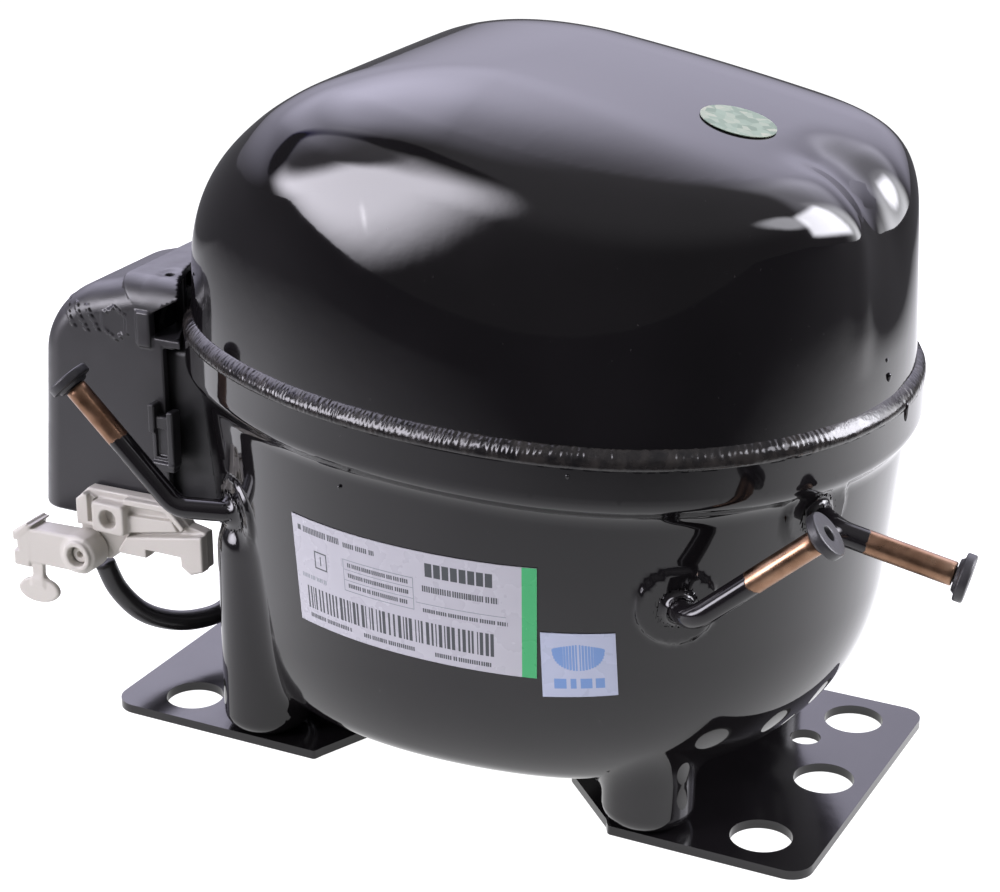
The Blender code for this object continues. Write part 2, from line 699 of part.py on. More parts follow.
def build_clamp_frame():
    frame = solid("cord_clamp_frame", prism_y(CLAMP_FRAME, -36.4, -32.8), "white_plastic")
    add(frame, "clamp_boss", prism_y(rounded(CLAMP_BOSS, 2), -40.0, -36.0))
    add(frame, "clamp_arm", prism_y(CLAMP_ARM, -39.0, -36.0))
    add(frame, "clamp_ear", box(-119.3, -112.5, -39.0, -36.0, 50.0, 58.5))
    cut(frame, "clamp_eye", cylinder(2.6, -3.5, 6, 14, (-107.9, -40.0, 53.6), TO_FRONT))
    cut(frame, "clamp_notch", box(-96.4, -84.9, -45, -30, 38.0, 46.5))
    cut(frame, "clamp_screw_hole", cylinder(SCREW_HOLE_R, -12, 0, 14, CLAMP_PIVOT, TO_FRONT))


def build_clamp_jaw():
    x, front, z = CLAMP_PIVOT
    angles = [math.radians(-85 + 20 * k) for k in range(9)]
    end = arc(x, z, JAW_ROUND_R, JAW_ROUND_R, angles)
    outline = [(-133.4, 37.3), *end, (-117.5, 48.4), (-133.0, 47.8)]
    axis = joint("cord_clamp_axis", CLAMP_PIVOT)
    jaw = solid("cord_clamp_jaw", prism_y(outline, front, -36.8), "white_plastic", axis)
    add(jaw, "jaw_boss", cylinder(4.4, -3, 1.2, 20, CLAMP_PIVOT, TO_FRONT))
    cut(jaw, "jaw_eye", cylinder(SCREW_HOLE_R, -14, 12, 16, CLAMP_PIVOT, TO_REAR))
    add(jaw, "jaw_wing", prism_y(rounded(JAW_WING, 2), front, -35.0))
    tab = arc(-130.6, 29.0, 7.0, 3.9, [2 * math.pi * k / 18 for k in range(18)])
    add(jaw, "jaw_tab", prism_y(tab, -43.6, -41.8))
    add(jaw, "jaw_neck", box(-132.4, -128.4, -43.5, -41.9, 30.5, 38.5))
    screw = lathe(SCREW, 16, CLAMP_PIVOT, TO_FRONT)
    solid("cord_clamp_screw", screw, "white_plastic", smooth=True)


# -------------------------------------------------------------------- labels
LABEL_LIFT, LABEL_THICK = 0.6, 0.3
SEAL_AT, SEAL_NORMAL = (61.0, -7.0, 178.1), (0.229, -0.006, 0.973)


def wall_patch(start, end, z0, z1, cols):
    """Thin curved plate over the shell wall between two plan angles in degrees."""
    angles = np.radians(start + (end - start) * np.arange(cols + 1) / cols)
    directions = ray_directions(angles)
    points = []
    for lift in (LABEL_LIFT, LABEL_LIFT + LABEL_THICK):
        for z in (z0, z1):
            points += skin_points(
                lambda p: bowl_field(p) - lift, (0, 0, z), directions, 40.0, 140.0
            )
    # rows of points: back low, back high, face low, face high
    a, b, c, d = (i * (cols + 1) for i in range(4))
    faces = []
    for k in range(cols):
        faces += [(a + k, a + k + 1, b + k + 1, b + k), (c + k, d + k, d + k + 1, c + k + 1)]
        faces += [(a + k, c + k, c + k + 1, a + k + 1), (b + k, b + k + 1, d + k + 1, d + k)]
    faces += [(a, b, d, c), (a + cols, c + cols, d + cols, b + cols)]
    return points, faces


def build_labels():
    solid("rating_label", wall_patch(-119.3, -61.2, 50.0, 80.2, 14), "label")
    solid("refrigerant_label", wall_patch(-60.2, -48.2, 47.8, 65.3, 4), "label")
    solid("inspection_seal", cylinder(9.6, 0.45, 0.75, 24, SEAL_AT, SEAL_NORMAL), "foil")


# --------------------------------------------------------- motor and springs
STATOR_OUTLINE = [  # x, y from the shaft
    (-40, -48), (40, -48), (56, -32), (56, 32), (40, 48), (-40, 48), (-56, 32), (-56, -32),
]
STATOR_LOW, STATOR_HIGH = 50.0, 88.0
# radius, height
LOWER_WINDING = [(26.0, 33.0), (36.0, 33.0), (39.0, 37.0), (39.0, 49.6), (25.5, 49.6)]
UPPER_WINDING = [(25.5, 88.4), (39.0, 88.4), (39.0, 98.0), (36.0, 102.0), (26.0, 102.0)]

SPRING_R, WIRE_R = 4.3, 0.75
SPRING_LOW, SPRING_HIGH = 6.4, 46.1
TURNS, TURN_STEPS = 5.0, 8
CLOSED_TURNS = 0.8  # close wound at each end
CLOSED_PITCH = WIRE_R * 2 + 0.35


def shaft_box(x0, x1, y0, y1, z0, z1):
    """Box with x and y measured from the shaft axis."""
    return box(SHAFT_X + x0, SHAFT_X + x1, SHAFT_Y + y0, SHAFT_Y + y1, z0, z1)


def build_motor(frame):
    outline = [(SHAFT_X + x, SHAFT_Y + y) for x, y in STATOR_OUTLINE]
    stator = solid("stator_core", prism(outline, STATOR_LOW, STATOR_HIGH), "lamination", frame)
    cut(stator, "stator_bore", cylinder(23.3, 40, 100, 32, SHAFT))
    for name, profile in (("lower_winding", LOWER_WINDING), ("upper_winding", UPPER_WINDING)):
        solid(name, lathe(profile, 24, SHAFT), "winding", frame, smooth=True)


def build_spring_brackets(frame):
    for side, x, stud_x in (("left", -54.0, LOBE_LEFT_X), ("right", 54.0, LOBE_RIGHT_X)):
        shape = shaft_box(x - 7.0, x + 7.0, -41.0, 41.0, 46.5, 49.6)
        bracket = solid(side + "_spring_bracket", shape, "steel", frame)
        for i, y in enumerate((-STUD_Y, STUD_Y)):
            stud = cylinder(STUD_R, 38.0, 48.0, STUD_STEPS, (stud_x, y, 0))
            add(bracket, f"{side}_spring_stud_{i}", stud)


def coil(x, y):
    """Spring centre line: close wound end turns, open turns between them."""
    low, high = SPRING_LOW + WIRE_R, SPRING_HIGH - WIRE_R
    open_low = low + CLOSED_PITCH * CLOSED_TURNS
    open_high = high - CLOSED_PITCH * CLOSED_TURNS
    points = []
    for k in range(int(TURNS * TURN_STEPS) + 1):
        turn = k / TURN_STEPS
        angle = 2 * math.pi * turn
        if turn < CLOSED_TURNS:
            z = low + CLOSED_PITCH * turn
        elif turn > TURNS - CLOSED_TURNS:
            z = high - CLOSED_PITCH * (TURNS - turn)
        else:
            share = (turn - CLOSED_TURNS) / (TURNS - 2 * CLOSED_TURNS)
            z = open_low + (open_high - open_low) * share
        points.append((x + SPRING_R * math.cos(angle), y + SPRING_R * math.sin(angle), z))
    return points


def build_springs():
    """Each spring stands half way between its lobe centre and the stud above."""
    for name, (x, y) in LOBES.items():
        path = coil(x, (y + math.copysign(STUD_Y, y)) / 2)
        solid(name + "_suspension_spring", sweep(path, WIRE_R, 5), "spring_steel")


# ------------------------------------------------------------- running parts
PIN_X = SHAFT_X + ECCENTRIC
WASHER_X = SHAFT_X + ECCENTRIC / 2  # half way between the shaft axis and the crankpin
PISTON_BACK = 24.0  # from the crankpin: clears the crank web at bottom dead centre
PISTON_FRONT = VALVE_FACE - 2.4 - ECCENTRIC
# radius, height
CRANKSHAFT = [
    (0, 30.0), (JOURNAL_R, 30.0), (JOURNAL_R, 119.4), (15.4, 119.4), (15.4, 122.0), (0, 122.0),
]
OIL_PICKUP = [(3.0, 17.0), (4.2, 17.0), (8.6, 29.0), (8.6, 29.6), (7.4, 29.6)]


def build_crank(crank):
    rotor = ring(JOURNAL_R + GAP, 22.5, 46.0, 92.0, 28, SHAFT)
    solid("rotor", rotor, "aluminium", crank, smooth=True)
    shaft = solid("crankshaft", lathe(CRANKSHAFT, 24, SHAFT), "cast_iron", crank, smooth=True)
    add(shaft, "crankpin_form", cylinder(PIN_R, 120.5, 137.0, 20, (PIN_X, SHAFT_Y, 0)))
    cut(shaft, "oil_hole", cylinder(2.0, 20.0, 60.0, 10, SHAFT))
    outer_angles = [math.radians(100 + 16 * k) for k in range(11)]
    half_ring = arc(SHAFT_X, SHAFT_Y, 21.0, 21.0, outer_angles)
    half_ring += arc(SHAFT_X, SHAFT_Y, 12.0, 12.0, outer_angles[::-1])
    solid("counterweight", prism(half_ring, 36.0, 45.6), "cast_iron", crank)
    solid("oil_pickup_tube", lathe(OIL_PICKUP, 16, SHAFT), "steel", crank, smooth=True)


def build_washer(axis):
    washer = ring(11.4, 16.0, 122.4, 123.6, 24, (WASHER_X, SHAFT_Y, 0))
    solid("crankpin_thrust_washer", washer, "steel", axis, smooth=True)


def build_slider(crank):
    axis = joint("slider_axis", (PIN_X, SHAFT_Y, BORE_Z), crank)
    block = shaft_box(ECCENTRIC - 10.0, ECCENTRIC + 10.0, -11.0, 11.0, 124.2, 135.8)
    slider = solid("slider_block", block, "steel", axis)
    cut(slider, "slider_bore", cylinder(PIN_R + GAP, 120, 140, 20, (PIN_X, SHAFT_Y, 0)))


def rounded_block(x, half_x, half_y, radius, z0, z1):
    """Block centred on x and the shaft's y, with rounded upright edges."""
    signs = ((-1, -1), (1, -1), (1, 1), (-1, 1))
    corners = [(x + a * half_x, SHAFT_Y + b * half_y, radius) for a, b in signs]
    return prism(rounded(corners, 2), z0, z1)


def build_piston(washer_axis):
    centre = (PIN_X, SHAFT_Y, BORE_Z)
    axis = joint("piston_axis", centre, washer_axis)
    block = rounded_block(PIN_X, 15.5, 26.0, 5.0, 124.4, 135.6)
    yoke = solid("piston_yoke", block, "cast_iron", axis)
    slot = shaft_box(ECCENTRIC - 10.3, ECCENTRIC + 10.3, -19.6, 19.6, 120, 140)
    cut(yoke, "yoke_slot", slot)
    neck = cylinder(5.0, 13.0, PISTON_BACK - GAP, 12, centre, TO_RIGHT)
    add(yoke, "piston_neck", neck)
    piston = cylinder(BORE_R - GAP, PISTON_BACK, PISTON_FRONT, 28, centre, TO_RIGHT)
    solid("piston", piston, "steel", axis, smooth=True)


# --------------------------------------------------- crankcase, valves, head
FOUR_CORNERS = ((-1, -1), (-1, 1), (1, -1), (1, 1))
HEAD_Y, HEAD_Z = 20.0, 19.0  # half sizes of the head stack
BOLT_Y, BOLT_Z = 16.3, 15.6  # half pitches
# radius, distance from the valve face
HEAD_BOLT = [(0, -12.0), (1.6, -12.0), (1.6, 19.4), (3.1, 19.4), (3.1, 22.4), (0, 22.4)]
# reed outlines: y, z from the bore axis, corner radius
SUCTION_REED = [(-3.4, 9.8, 1), (-4.6, -9.4, 3), (4.6, -9.4, 3), (3.4, 9.8, 1)]
DISCHARGE_REED = [(-3.0, -10.4, 1), (3.0, -10.4, 1), (4.2, 9.0, 3), (-4.2, 9.0, 3)]
REED_THICK = 0.4


def build_crankcase(frame):
    """Top plate, main bearing hub, four legs on the stator, cylinder."""
    block = rounded_block(SHAFT_X, 44, 44, 8, 108.0, 117.5)
    case = solid("crankcase", block, "cast_iron", frame)
    add(case, "hub_form", cylinder(17.0, 94.0, 110.0, 20, SHAFT))
    for i, (side_x, side_y) in enumerate(FOUR_CORNERS):
        x, y = side_x * 36.5, side_y * 36.5
        add(case, f"leg_form_{i}", shaft_box(x - 6, x + 6, y - 6, y + 6, 88.4, 110.0))
    block = shaft_box(25.5, VALVE_FACE, -HEAD_Y, HEAD_Y, 115.0, BORE_Z + HEAD_Z)
    add(case, "cylinder_form", block)
    cut(case, "main_bore", cylinder(JOURNAL_R + GAP, 80, 130, 24, SHAFT))
    cut(case, "web_recess", cylinder(18.0, 116.8, 126.0, 24, SHAFT))
    bore = cylinder(BORE_R, 15.0, 70.0, 28, (SHAFT_X, SHAFT_Y, BORE_Z), TO_RIGHT)
    cut(case, "cylinder_bore", bore)
    return case


def stack_box(x0, x1, half_y=HEAD_Y, half_z=HEAD_Z):
    """Box centred on the bore axis, x measured from the valve face."""
    x0, x1 = VALVE_FACE + x0, VALVE_FACE + x1
    return shaft_box(x0, x1, -half_y, half_y, BORE_Z - half_z, BORE_Z + half_z)


def build_valve_plate(frame):
    plate = solid("valve_plate", stack_box(GAP, GAP + 3.0), "steel", frame)
    for name, radius, rise in (("suction_port", 2.6, -5.5), ("discharge_port", 2.2, 4.5)):
        centre = (VALVE_X, SHAFT_Y, BORE_Z + rise)
        cut(plate, name, cylinder(radius, -5, 10, 12, centre, TO_RIGHT))
    return plate


def build_reed(name, corners, from_face, root_rise, frame):
    """Flat reed with its axis at mid thickness near the fixed end."""
    x = VALVE_X + from_face
    axis = joint(name + "_axis", (x, SHAFT_Y, BORE_Z + root_rise), frame)
    outline = rounded([(y, BORE_Z + z, radius) for y, z, radius in corners])
    shape = prism_x(outline, x - REED_THICK / 2, x + REED_THICK / 2)
    solid(name, shape, "spring_steel", axis)


def build_gasket(frame):
    gasket = solid("head_gasket", stack_box(3.6, 4.4), "rubber", frame)
    cut(gasket, "gasket_window", stack_box(0, 8, 13, 13))
    return gasket


def build_head(frame):
    head = solid("cylinder_head", stack_box(4.7, 19.0), "aluminium", frame)
    bevel(head, 2.0, 1)
    cut(head, "plenum", stack_box(2, 15.0, 12.5, 12.5))
    return head


def build_head_bolts(frame, parts):
    """Four bolts, with their holes through all the parts."""
    for i, (side_y, side_z) in enumerate(FOUR_CORNERS):
        at = (VALVE_X, SHAFT_Y + side_y * BOLT_Y, BORE_Z + side_z * BOLT_Z)
        for part in parts:
            hole = cylinder(1.9, -14.0, 40, 10, at, TO_RIGHT)
            cut(part, f"{part.name}_bolt_hole_{i}", hole, "steel")
        solid("head_bolt_" + "abcd"[i], lathe(HEAD_BOLT, 8, at, TO_RIGHT), "steel", frame)


# --------------------------------------------------- muffler, discharge loop
LOOP_FROM_FACE = [  # x from the valve face, y from the shaft, z
    (19.4, 9.0, 133.0), (22.6, 9.4, 133.0), (26.0, 15.0, 133.0),
    (26.0, 30.0, 131.0), (16.0, 44.0, 128.0), (-8.0, 54.0, 126.0),
]
LOOP_FROM_SHAFT = [  # x and y from the shaft, z
    (-4.0, 56.5, 124.0), (-38.0, 48.0, 120.0), (-58.0, 28.0, 114.0), (-62.0, 0.0, 108.0),
    (-57.0, -26.0, 101.0), (-40.0, -51.5, 94.0), (-6.0, -58.0, 92.0), (34.0, -57.0, 92.0),
    (66.0, -46.5, 92.0), (80.5, -34.5, 93.0),
]
LOOP_END = (84.6, -27.3, 94.5)  # near the discharge stub


def build_muffler(frame):
    block = shaft_box(24.0, 66.0, -57.0, -22.5, 119.0, 146.0)
    muffler = solid("suction_muffler", block, "pale_plastic", frame)
    bevel(muffler, 4.0, 2)
    centre = (SHAFT_X + 36.0, SHAFT_Y - 42.0, 0)
    cut(muffler, "muffler_intake", cylinder(3.2, 120.0, 160.0, 12, centre))


def build_discharge_loop():
    path = [(VALVE_X + x, SHAFT_Y + y, z) for x, y, z in LOOP_FROM_FACE]
    path += [(SHAFT_X + x, SHAFT_Y + y, z) for x, y, z in LOOP_FROM_SHAFT]
    path.append(LOOP_END)
    solid("discharge_loop_tube", sweep(smooth_path(path), 1.6, 6), "copper")


# ------------------------------------------------------------------ assembly
def build_outside():
    build_lower_shell()
    solid("top_cover", cover_shell(), "black_enamel", smooth=True)
    build_seam_weld()
    build_foot_plate("left_foot_plate", LEFT_PLATE, LEFT_HOLES)
    build_foot_plate("right_foot_plate", RIGHT_PLATE, RIGHT_HOLES)
    build_stubs()
    build_terminal()
    build_relay_cover()
    build_clamp_frame()
    build_clamp_jaw()
    cable = sweep(smooth_path(CABLE_PATH), CABLE_R, 12)
    solid("supply_cable", cable, "cable", smooth=True)
    build_labels()


def build_pump():
    frame = joint("suspension_axis", (SHAFT_X, SHAFT_Y, 60.0))
    build_motor(frame)
    build_spring_brackets(frame)
    build_springs()

    crank = joint("crank_axis", (SHAFT_X, SHAFT_Y, 80.0), frame)
    washer_axis = joint("thrust_washer_axis", (WASHER_X, SHAFT_Y, 123.0), crank)
    build_crank(crank)
    build_washer(washer_axis)
    build_slider(crank)
    build_piston(washer_axis)

    case = build_crankcase(frame)
    plate = build_valve_plate(frame)
    build_reed("suction_reed", SUCTION_REED, -0.5, 9.5, frame)
    build_reed("discharge_reed", DISCHARGE_REED, 3.8, -10.0, frame)
    gasket = build_gasket(frame)
    head = build_head(frame)
    build_head_bolts(frame, (case, plate, gasket, head))
    build_muffler(frame)
    build_discharge_loop()


build_outside()
build_pump()
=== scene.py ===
# Hermetic piston compressor: a welded black shell on two foot plates, three plugged copper
# stubs, a relay housing and cord clamp at the left end (-x), two labels on the front (-y).
# Lengths are in millimetres from the centre of the mounting pattern, with +x right, +y rear,
# +z up and the feet on z = 0. world() turns them into the frame's metres.
import math

import bmesh
import bpy
import numpy as np
from mathutils import Matrix, Vector

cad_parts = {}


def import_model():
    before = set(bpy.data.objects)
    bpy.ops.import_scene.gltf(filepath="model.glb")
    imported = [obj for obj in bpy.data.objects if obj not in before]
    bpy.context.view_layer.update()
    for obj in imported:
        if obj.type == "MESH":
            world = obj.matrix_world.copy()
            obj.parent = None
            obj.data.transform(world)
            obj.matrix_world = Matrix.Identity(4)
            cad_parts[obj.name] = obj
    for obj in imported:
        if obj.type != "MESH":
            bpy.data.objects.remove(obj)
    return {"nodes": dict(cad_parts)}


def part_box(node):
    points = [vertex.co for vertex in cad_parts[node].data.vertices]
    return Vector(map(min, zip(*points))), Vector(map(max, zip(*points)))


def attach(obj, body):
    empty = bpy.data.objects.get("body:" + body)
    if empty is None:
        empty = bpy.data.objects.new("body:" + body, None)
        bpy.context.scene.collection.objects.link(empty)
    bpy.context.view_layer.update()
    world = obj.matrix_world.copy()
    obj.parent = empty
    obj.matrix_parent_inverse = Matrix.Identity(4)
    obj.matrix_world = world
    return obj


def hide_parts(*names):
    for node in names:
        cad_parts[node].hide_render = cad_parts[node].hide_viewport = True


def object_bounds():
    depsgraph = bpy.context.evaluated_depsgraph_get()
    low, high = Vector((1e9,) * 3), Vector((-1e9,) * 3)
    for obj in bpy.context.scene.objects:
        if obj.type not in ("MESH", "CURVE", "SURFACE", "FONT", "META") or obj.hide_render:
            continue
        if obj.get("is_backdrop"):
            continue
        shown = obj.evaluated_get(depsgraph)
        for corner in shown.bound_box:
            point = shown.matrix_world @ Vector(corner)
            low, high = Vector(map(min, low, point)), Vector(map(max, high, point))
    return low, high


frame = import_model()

MM = 0.001
CAD_BOX = [list(c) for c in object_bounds()]
scene = bpy.context.scene

# the frame's origin is the footprint centre, so the left foot plate gives the offset
PLATE_LEFT = -104.4  # x of the left plate's outer edge
SHIFT = np.array([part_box("left_foot_plate")[0].x * 1000 - PLATE_LEFT, 0.0, 0.0])

# ------------------------------------------------------------------ driving sizes
EGG = (87.98, 7.61, 12.33, -1.87, 0.34, -0.83)  # plan outline: cosine terms of its radius
WALL = 3.0
RIM_TOP = 111.7  # top of the band round the lower shell
COVER_INSET = 3.3  # skirt of the top cover inside the egg outline
ROOF_TOP, ROOF_FALL = 189.4, 0.134  # cover height at x = 0, fall per mm of x

TUBE_RADIUS, BORE_RADIUS = 3.0, 2.2
STUBS = (  # name, wall point, bend corner, free end, bare copper length, bend size
    ("suction", (-61.1, -46.4, 67.7), (-77.3, -50.5, 67.5), (-105.9, -52.9, 97.3), 18.0, 8.0),
    ("process", (69.8, -58.6, 73.2), (77.0, -66.0, 74.5), (104.4, -60.5, 97.8), 19.0, 8.0),
    ("discharge", (94.2, -32.7, 92.5), (102.8, -37.6, 90.7), (129.6, -34.3, 84.2), 22.0, 7.0),
)
LOBES = ((-58.5, -38.5), (-58.5, 38.5), (55.5, -39.0), (55.5, 39.0))  # x, y of the corner bulges
LOBE_RADIUS = 12.0
TERMINAL_HOLE, TERMINAL_RADIUS = (-87.5, -10.0, 78.0), 14.0

HOLE_X, HOLE_Y, HOLE_RADIUS = 85, 35, 8.0  # mounting pattern
PLATE_THICK = 2.5
LEFT_OUTLINE = (  # x, y, corner radius
    (PLATE_LEFT, -48, 7), (-38.5, -48, 1), (-37.5, -45.0, 2), (-31.0, -29.0, 3),
    (-31.0, 29.0, 3), (-37.5, 45.0, 2), (-38.5, 48, 1), (PLATE_LEFT, 48, 7),
)
RIGHT_OUTLINE = (
    (48.3, -48, 1.5), (101.5, -48, 6), (101.5, 48, 6), (48.3, 48, 1.5),
    (46.5, 45.0, 1), (28.0, 27.0, 3), (28.0, -27.0, 3), (46.5, -45.0, 1),
)
LEFT_HOLES = ((-HOLE_X, -HOLE_Y, HOLE_RADIUS), (-HOLE_X, HOLE_Y, HOLE_RADIUS))  # x, y, radius
RIGHT_HOLES = (
    (HOLE_X, -HOLE_Y, HOLE_RADIUS), (HOLE_X, HOLE_Y, HOLE_RADIUS),
    (89.0, 0.0, 8.0), (76.7, 19.3, 4.2),
)

HOUSING_WALL = 2.1
DIMPLE = (-95.9, -21.1, 121.5)
CLAMP_PIVOT, PIVOT_RADIUS = (-115.6, -44.0, 42.9), 2.9
CLAMP_HOLE = (-107.9, -40.0, 53.7)
FORWARD = (0, -1, 0)
CABLE_RADIUS = 2.9
CABLE = (
    (-115.8, -31.4, 35.4), (-113.6, -29.2, 27.2), (-109.4, -25.3, 19.8), (-104.4, -20.0, 15.6),
    (-99.0, -13.5, 13.8), (-94.5, -5.0, 14.2), (-93.5, 3.0, 18.5), (-96.0, 6.5, 30.0),
    (-100.0, 5.5, 44.0), (-103.0, 4.0, 57.0), (-103.5, 3.5, 63.5),
)


def world(pos):
    return (np.asarray(pos, float) + SHIFT) * MM


def xyz(pos):
    return pos[..., 0], pos[..., 1], pos[..., 2]


def unit(vector):
    vector = np.array(vector, float)
    return vector / np.linalg.norm(vector)


# ------------------------------------------------------------------ field helpers
# A field is negative inside a solid and positive outside, roughly in millimetres.
def smax(a, b, width):
    """Intersection whose edge is blended over a width."""
    h = np.maximum(width - np.abs(a - b), 0) / width
    return np.maximum(a, b) + h * h * width / 4


def smin(a, b, width):
    """Union whose crease is filled over a width."""
    return -smax(-a, -b, width)


def rmax(a, b, radius):
    """Intersection whose edge is rounded by a radius."""
    corner = np.hypot(np.maximum(a + radius, 0), np.maximum(b + radius, 0))
    return np.minimum(np.maximum(a, b), -radius) + corner


def smooth(t):
    t = np.clip(t, 0, 1)
    return t * t * (3 - 2 * t)


def local(pos, origin, axis):
    """Distance from an axis through the origin, and height along it."""
    offset = pos - np.array(origin, float)
    axis = unit(axis)
    height = offset @ axis
    return np.linalg.norm(offset - height[..., None] * axis, axis=-1), height


def box_dist(pos, low, high, radius=0.0):
    low, high = np.array(low, float), np.array(high, float)
    centre, half = (low + high) / 2, (high - low) / 2 - radius
    over = np.abs(pos - centre) - half
    return np.linalg.norm(np.maximum(over, 0), axis=-1) + np.minimum(over.max(-1), 0) - radius


def polygon_dist(x, z, outline):
    """Signed distance to a polygon in the xz plane."""
    outline = np.array(outline, float)
    dist = np.full(x.shape, 1e9)
    inside = np.zeros(x.shape, bool)
    for i in range(len(outline)):
        start, end = outline[i - 1], outline[i]
        edge = end - start
        from_x, from_z = x - start[0], z - start[1]
        t = np.clip((from_x * edge[0] + from_z * edge[1]) / (edge @ edge), 0, 1)
        dist = np.minimum(dist, np.hypot(from_x - t * edge[0], from_z - t * edge[1]))
        upward = (start[1] <= z) & (end[1] > z)
        downward = (end[1] <= z) & (start[1] > z)
        # a level edge divides by zero here and is never counted as crossed
        with np.errstate(divide="ignore", invalid="ignore"):
            cross_x = start[0] + (z - start[1]) / (end[1] - start[1]) * edge[0]
        inside ^= (upward | downward) & (x < cross_x)
    return np.where(inside, -dist, dist)


def slab(pos, outline, front, back, rounding, grow):
    """An xz outline, grown a little, between two y planes."""
    flat = polygon_dist(pos[..., 0], pos[..., 2], outline) - grow
    return rmax(flat, np.abs(pos[..., 1] - (front + back) / 2) - (back - front) / 2, rounding)


def gradient(field, pos, reach=0.03):
    slope = np.empty(pos.shape)
    for i in range(3):
        step = np.zeros(3)
        step[i] = reach
        slope[..., i] = field(pos + step) - field(pos - step)
    return slope / (2 * reach)


def normals_of(field, pos):
    slope = gradient(field, pos)
    return slope / np.maximum(np.linalg.norm(slope, axis=-1, keepdims=True), 1e-9)


# ------------------------------------------------------------------ shell surfaces
def egg(x, y):
    """Distance outside the egg-shaped plan outline."""
    angle = np.arctan2(y, x)
    cos1, sin1 = np.cos(angle), np.sin(angle)
    cosk, sink = np.ones_like(cos1), np.zeros_like(cos1)
    radius, slope = np.full_like(cos1, EGG[0]), np.zeros_like(cos1)
    for k in range(1, len(EGG)):
        cosk, sink = cosk * cos1 - sink * sin1, sink * cos1 + cosk * sin1
        radius += EGG[k] * cosk
        slope -= EGG[k] * k * sink
    return (np.hypot(x, y) - radius) * radius / np.hypot(radius, slope)


def plan_field(pos):
    return egg(pos[..., 0], pos[..., 1])


def facet(across, rise, slope):
    return across * math.sin(slope) + rise * math.cos(slope)


def cover_field(pos):
    """Top cover without its groove: leaning wall, crowned roof and bevelled shoulders."""
    x, y, z = xyz(pos)
    left_start = -26.1
    wall = egg(x, y) + 2.18 + 0.048 * np.maximum(z - 112, 0)
    roof = ROOF_TOP - ROOF_FALL * x
    crown = z - roof + 0.083 * x * np.abs(x) / 100 + 1.68 * (y / 60) ** 2
    top = crown / math.hypot(1, ROOF_FALL)
    left = facet(-(x - left_start), z - ROOF_TOP + ROOF_FALL * left_start, slope=0.573)
    side = facet(np.abs(y) - 53.6, z - roof, slope=0.822)
    right = facet(x - 106.0, z - roof, slope=0.829)
    dist = smax(wall, top, 12.7)
    dist = smax(dist, left, 22.6)
    dist = smax(dist, side, 24.0)
    return smax(dist, right, 24.0)


def cover_outer(pos):
    """Top cover with an arched upright groove and a low ridge in its right end (+x)."""
    x, y, z = xyz(pos)
    right_end = smooth((x - 70) / 12.0)
    rise = smooth((z - 125) / 40.0) * (1 - smooth((z - 165) / 16.0))
    groove = np.exp(-(np.abs((y + 4.5) / 12.5) ** 2.6)) * rise * right_end
    ridge = np.exp(-(((y + 20.0) / 3.6) ** 2)) * smooth((z - 122) / 12.0)
    ridge = ridge * (1 - smooth((z - 156) / 14.0)) * right_end
    return cover_field(pos) + 3.2 * groove - 0.3 * ridge


def cover_inner(pos):
    return cover_field(pos) + WALL


def bowl_field(pos):
    """Lower shell: wall narrowing downwards, sloping floor, flat bottom at z = 8."""
    x, y, z = xyz(pos)
    wall = egg(x, y) + 3.65 + 0.091 * np.maximum(99 - z, 0)
    dist = smax(wall, 0.675 + 0.168 * x - z, 41.16)
    return smax(dist, 8.0 - z, 12.0)


SEATS = [(stub[1], normals_of(bowl_field, np.array([stub[1]], float))[0]) for stub in STUBS]


def shell_outer(pos):
    x, y, z = xyz(pos)
    bowl = bowl_field(pos)
    for lobe_x, lobe_y in LOBES:
        radial = np.hypot(x - lobe_x, y - lobe_y)
        lobe = rmax(radial - LOBE_RADIUS, 3.0 - z, 4.5)
        lobe = smax(lobe, z - 64.0 - 0.55 * (LOBE_RADIUS - radial), 9.0)
        bowl = smin(bowl, lobe, 3.6)
    for centre, normal in SEATS:
        radial, height = local(pos, centre, normal)
        seat = rmax(np.maximum(radial - 9.8, -5.0 - height), height - 0.75, 0.9)
        bowl = smin(bowl, seat, 1.6)
    plan = egg(x, y)
    band = rmax(plan, z - RIM_TOP, 0.55)
    band = smax(band, (100.0 - z) * 0.78 + plan * 0.62, 1.8)
    return smin(np.maximum(bowl, z - 105.0), band, 2.4)


def shell_inner(pos):
    x, y, z = xyz(pos)
    bowl = bowl_field(pos) + WALL
    for lobe_x, lobe_y in LOBES:
        radial = np.hypot(x - lobe_x, y - lobe_y)
        lobe = rmax(radial - (LOBE_RADIUS - WALL), 6.0 - z, 3.0)
        bowl = smin(bowl, smax(lobe, z - 60.0, 8.0), 3.0)
    mouth = np.maximum(egg(x, y) + WALL, 100.5 - z)
    return np.minimum(np.maximum(bowl, z - 103.5), mouth)


def shell_solid(pos):
    """Lower shell with its tube holes and the terminal hole in the left end."""
    dist = np.maximum(shell_outer(pos), -shell_inner(pos))
    for _, wall, corner, *_ in STUBS:
        radial, height = local(pos, wall, np.array(corner) - np.array(wall))
        dist = np.maximum(dist, -np.maximum(radial - 3.15, np.abs(height) - 14))
    radial, height = local(pos, TERMINAL_HOLE, (-1, 0, 0))
    return np.maximum(dist, -rmax(radial - TERMINAL_RADIUS, np.abs(height) - 14, 0.4))


# ------------------------------------------------------------------- mesh helpers
def link(obj):
    scene.collection.objects.link(obj)
    return obj


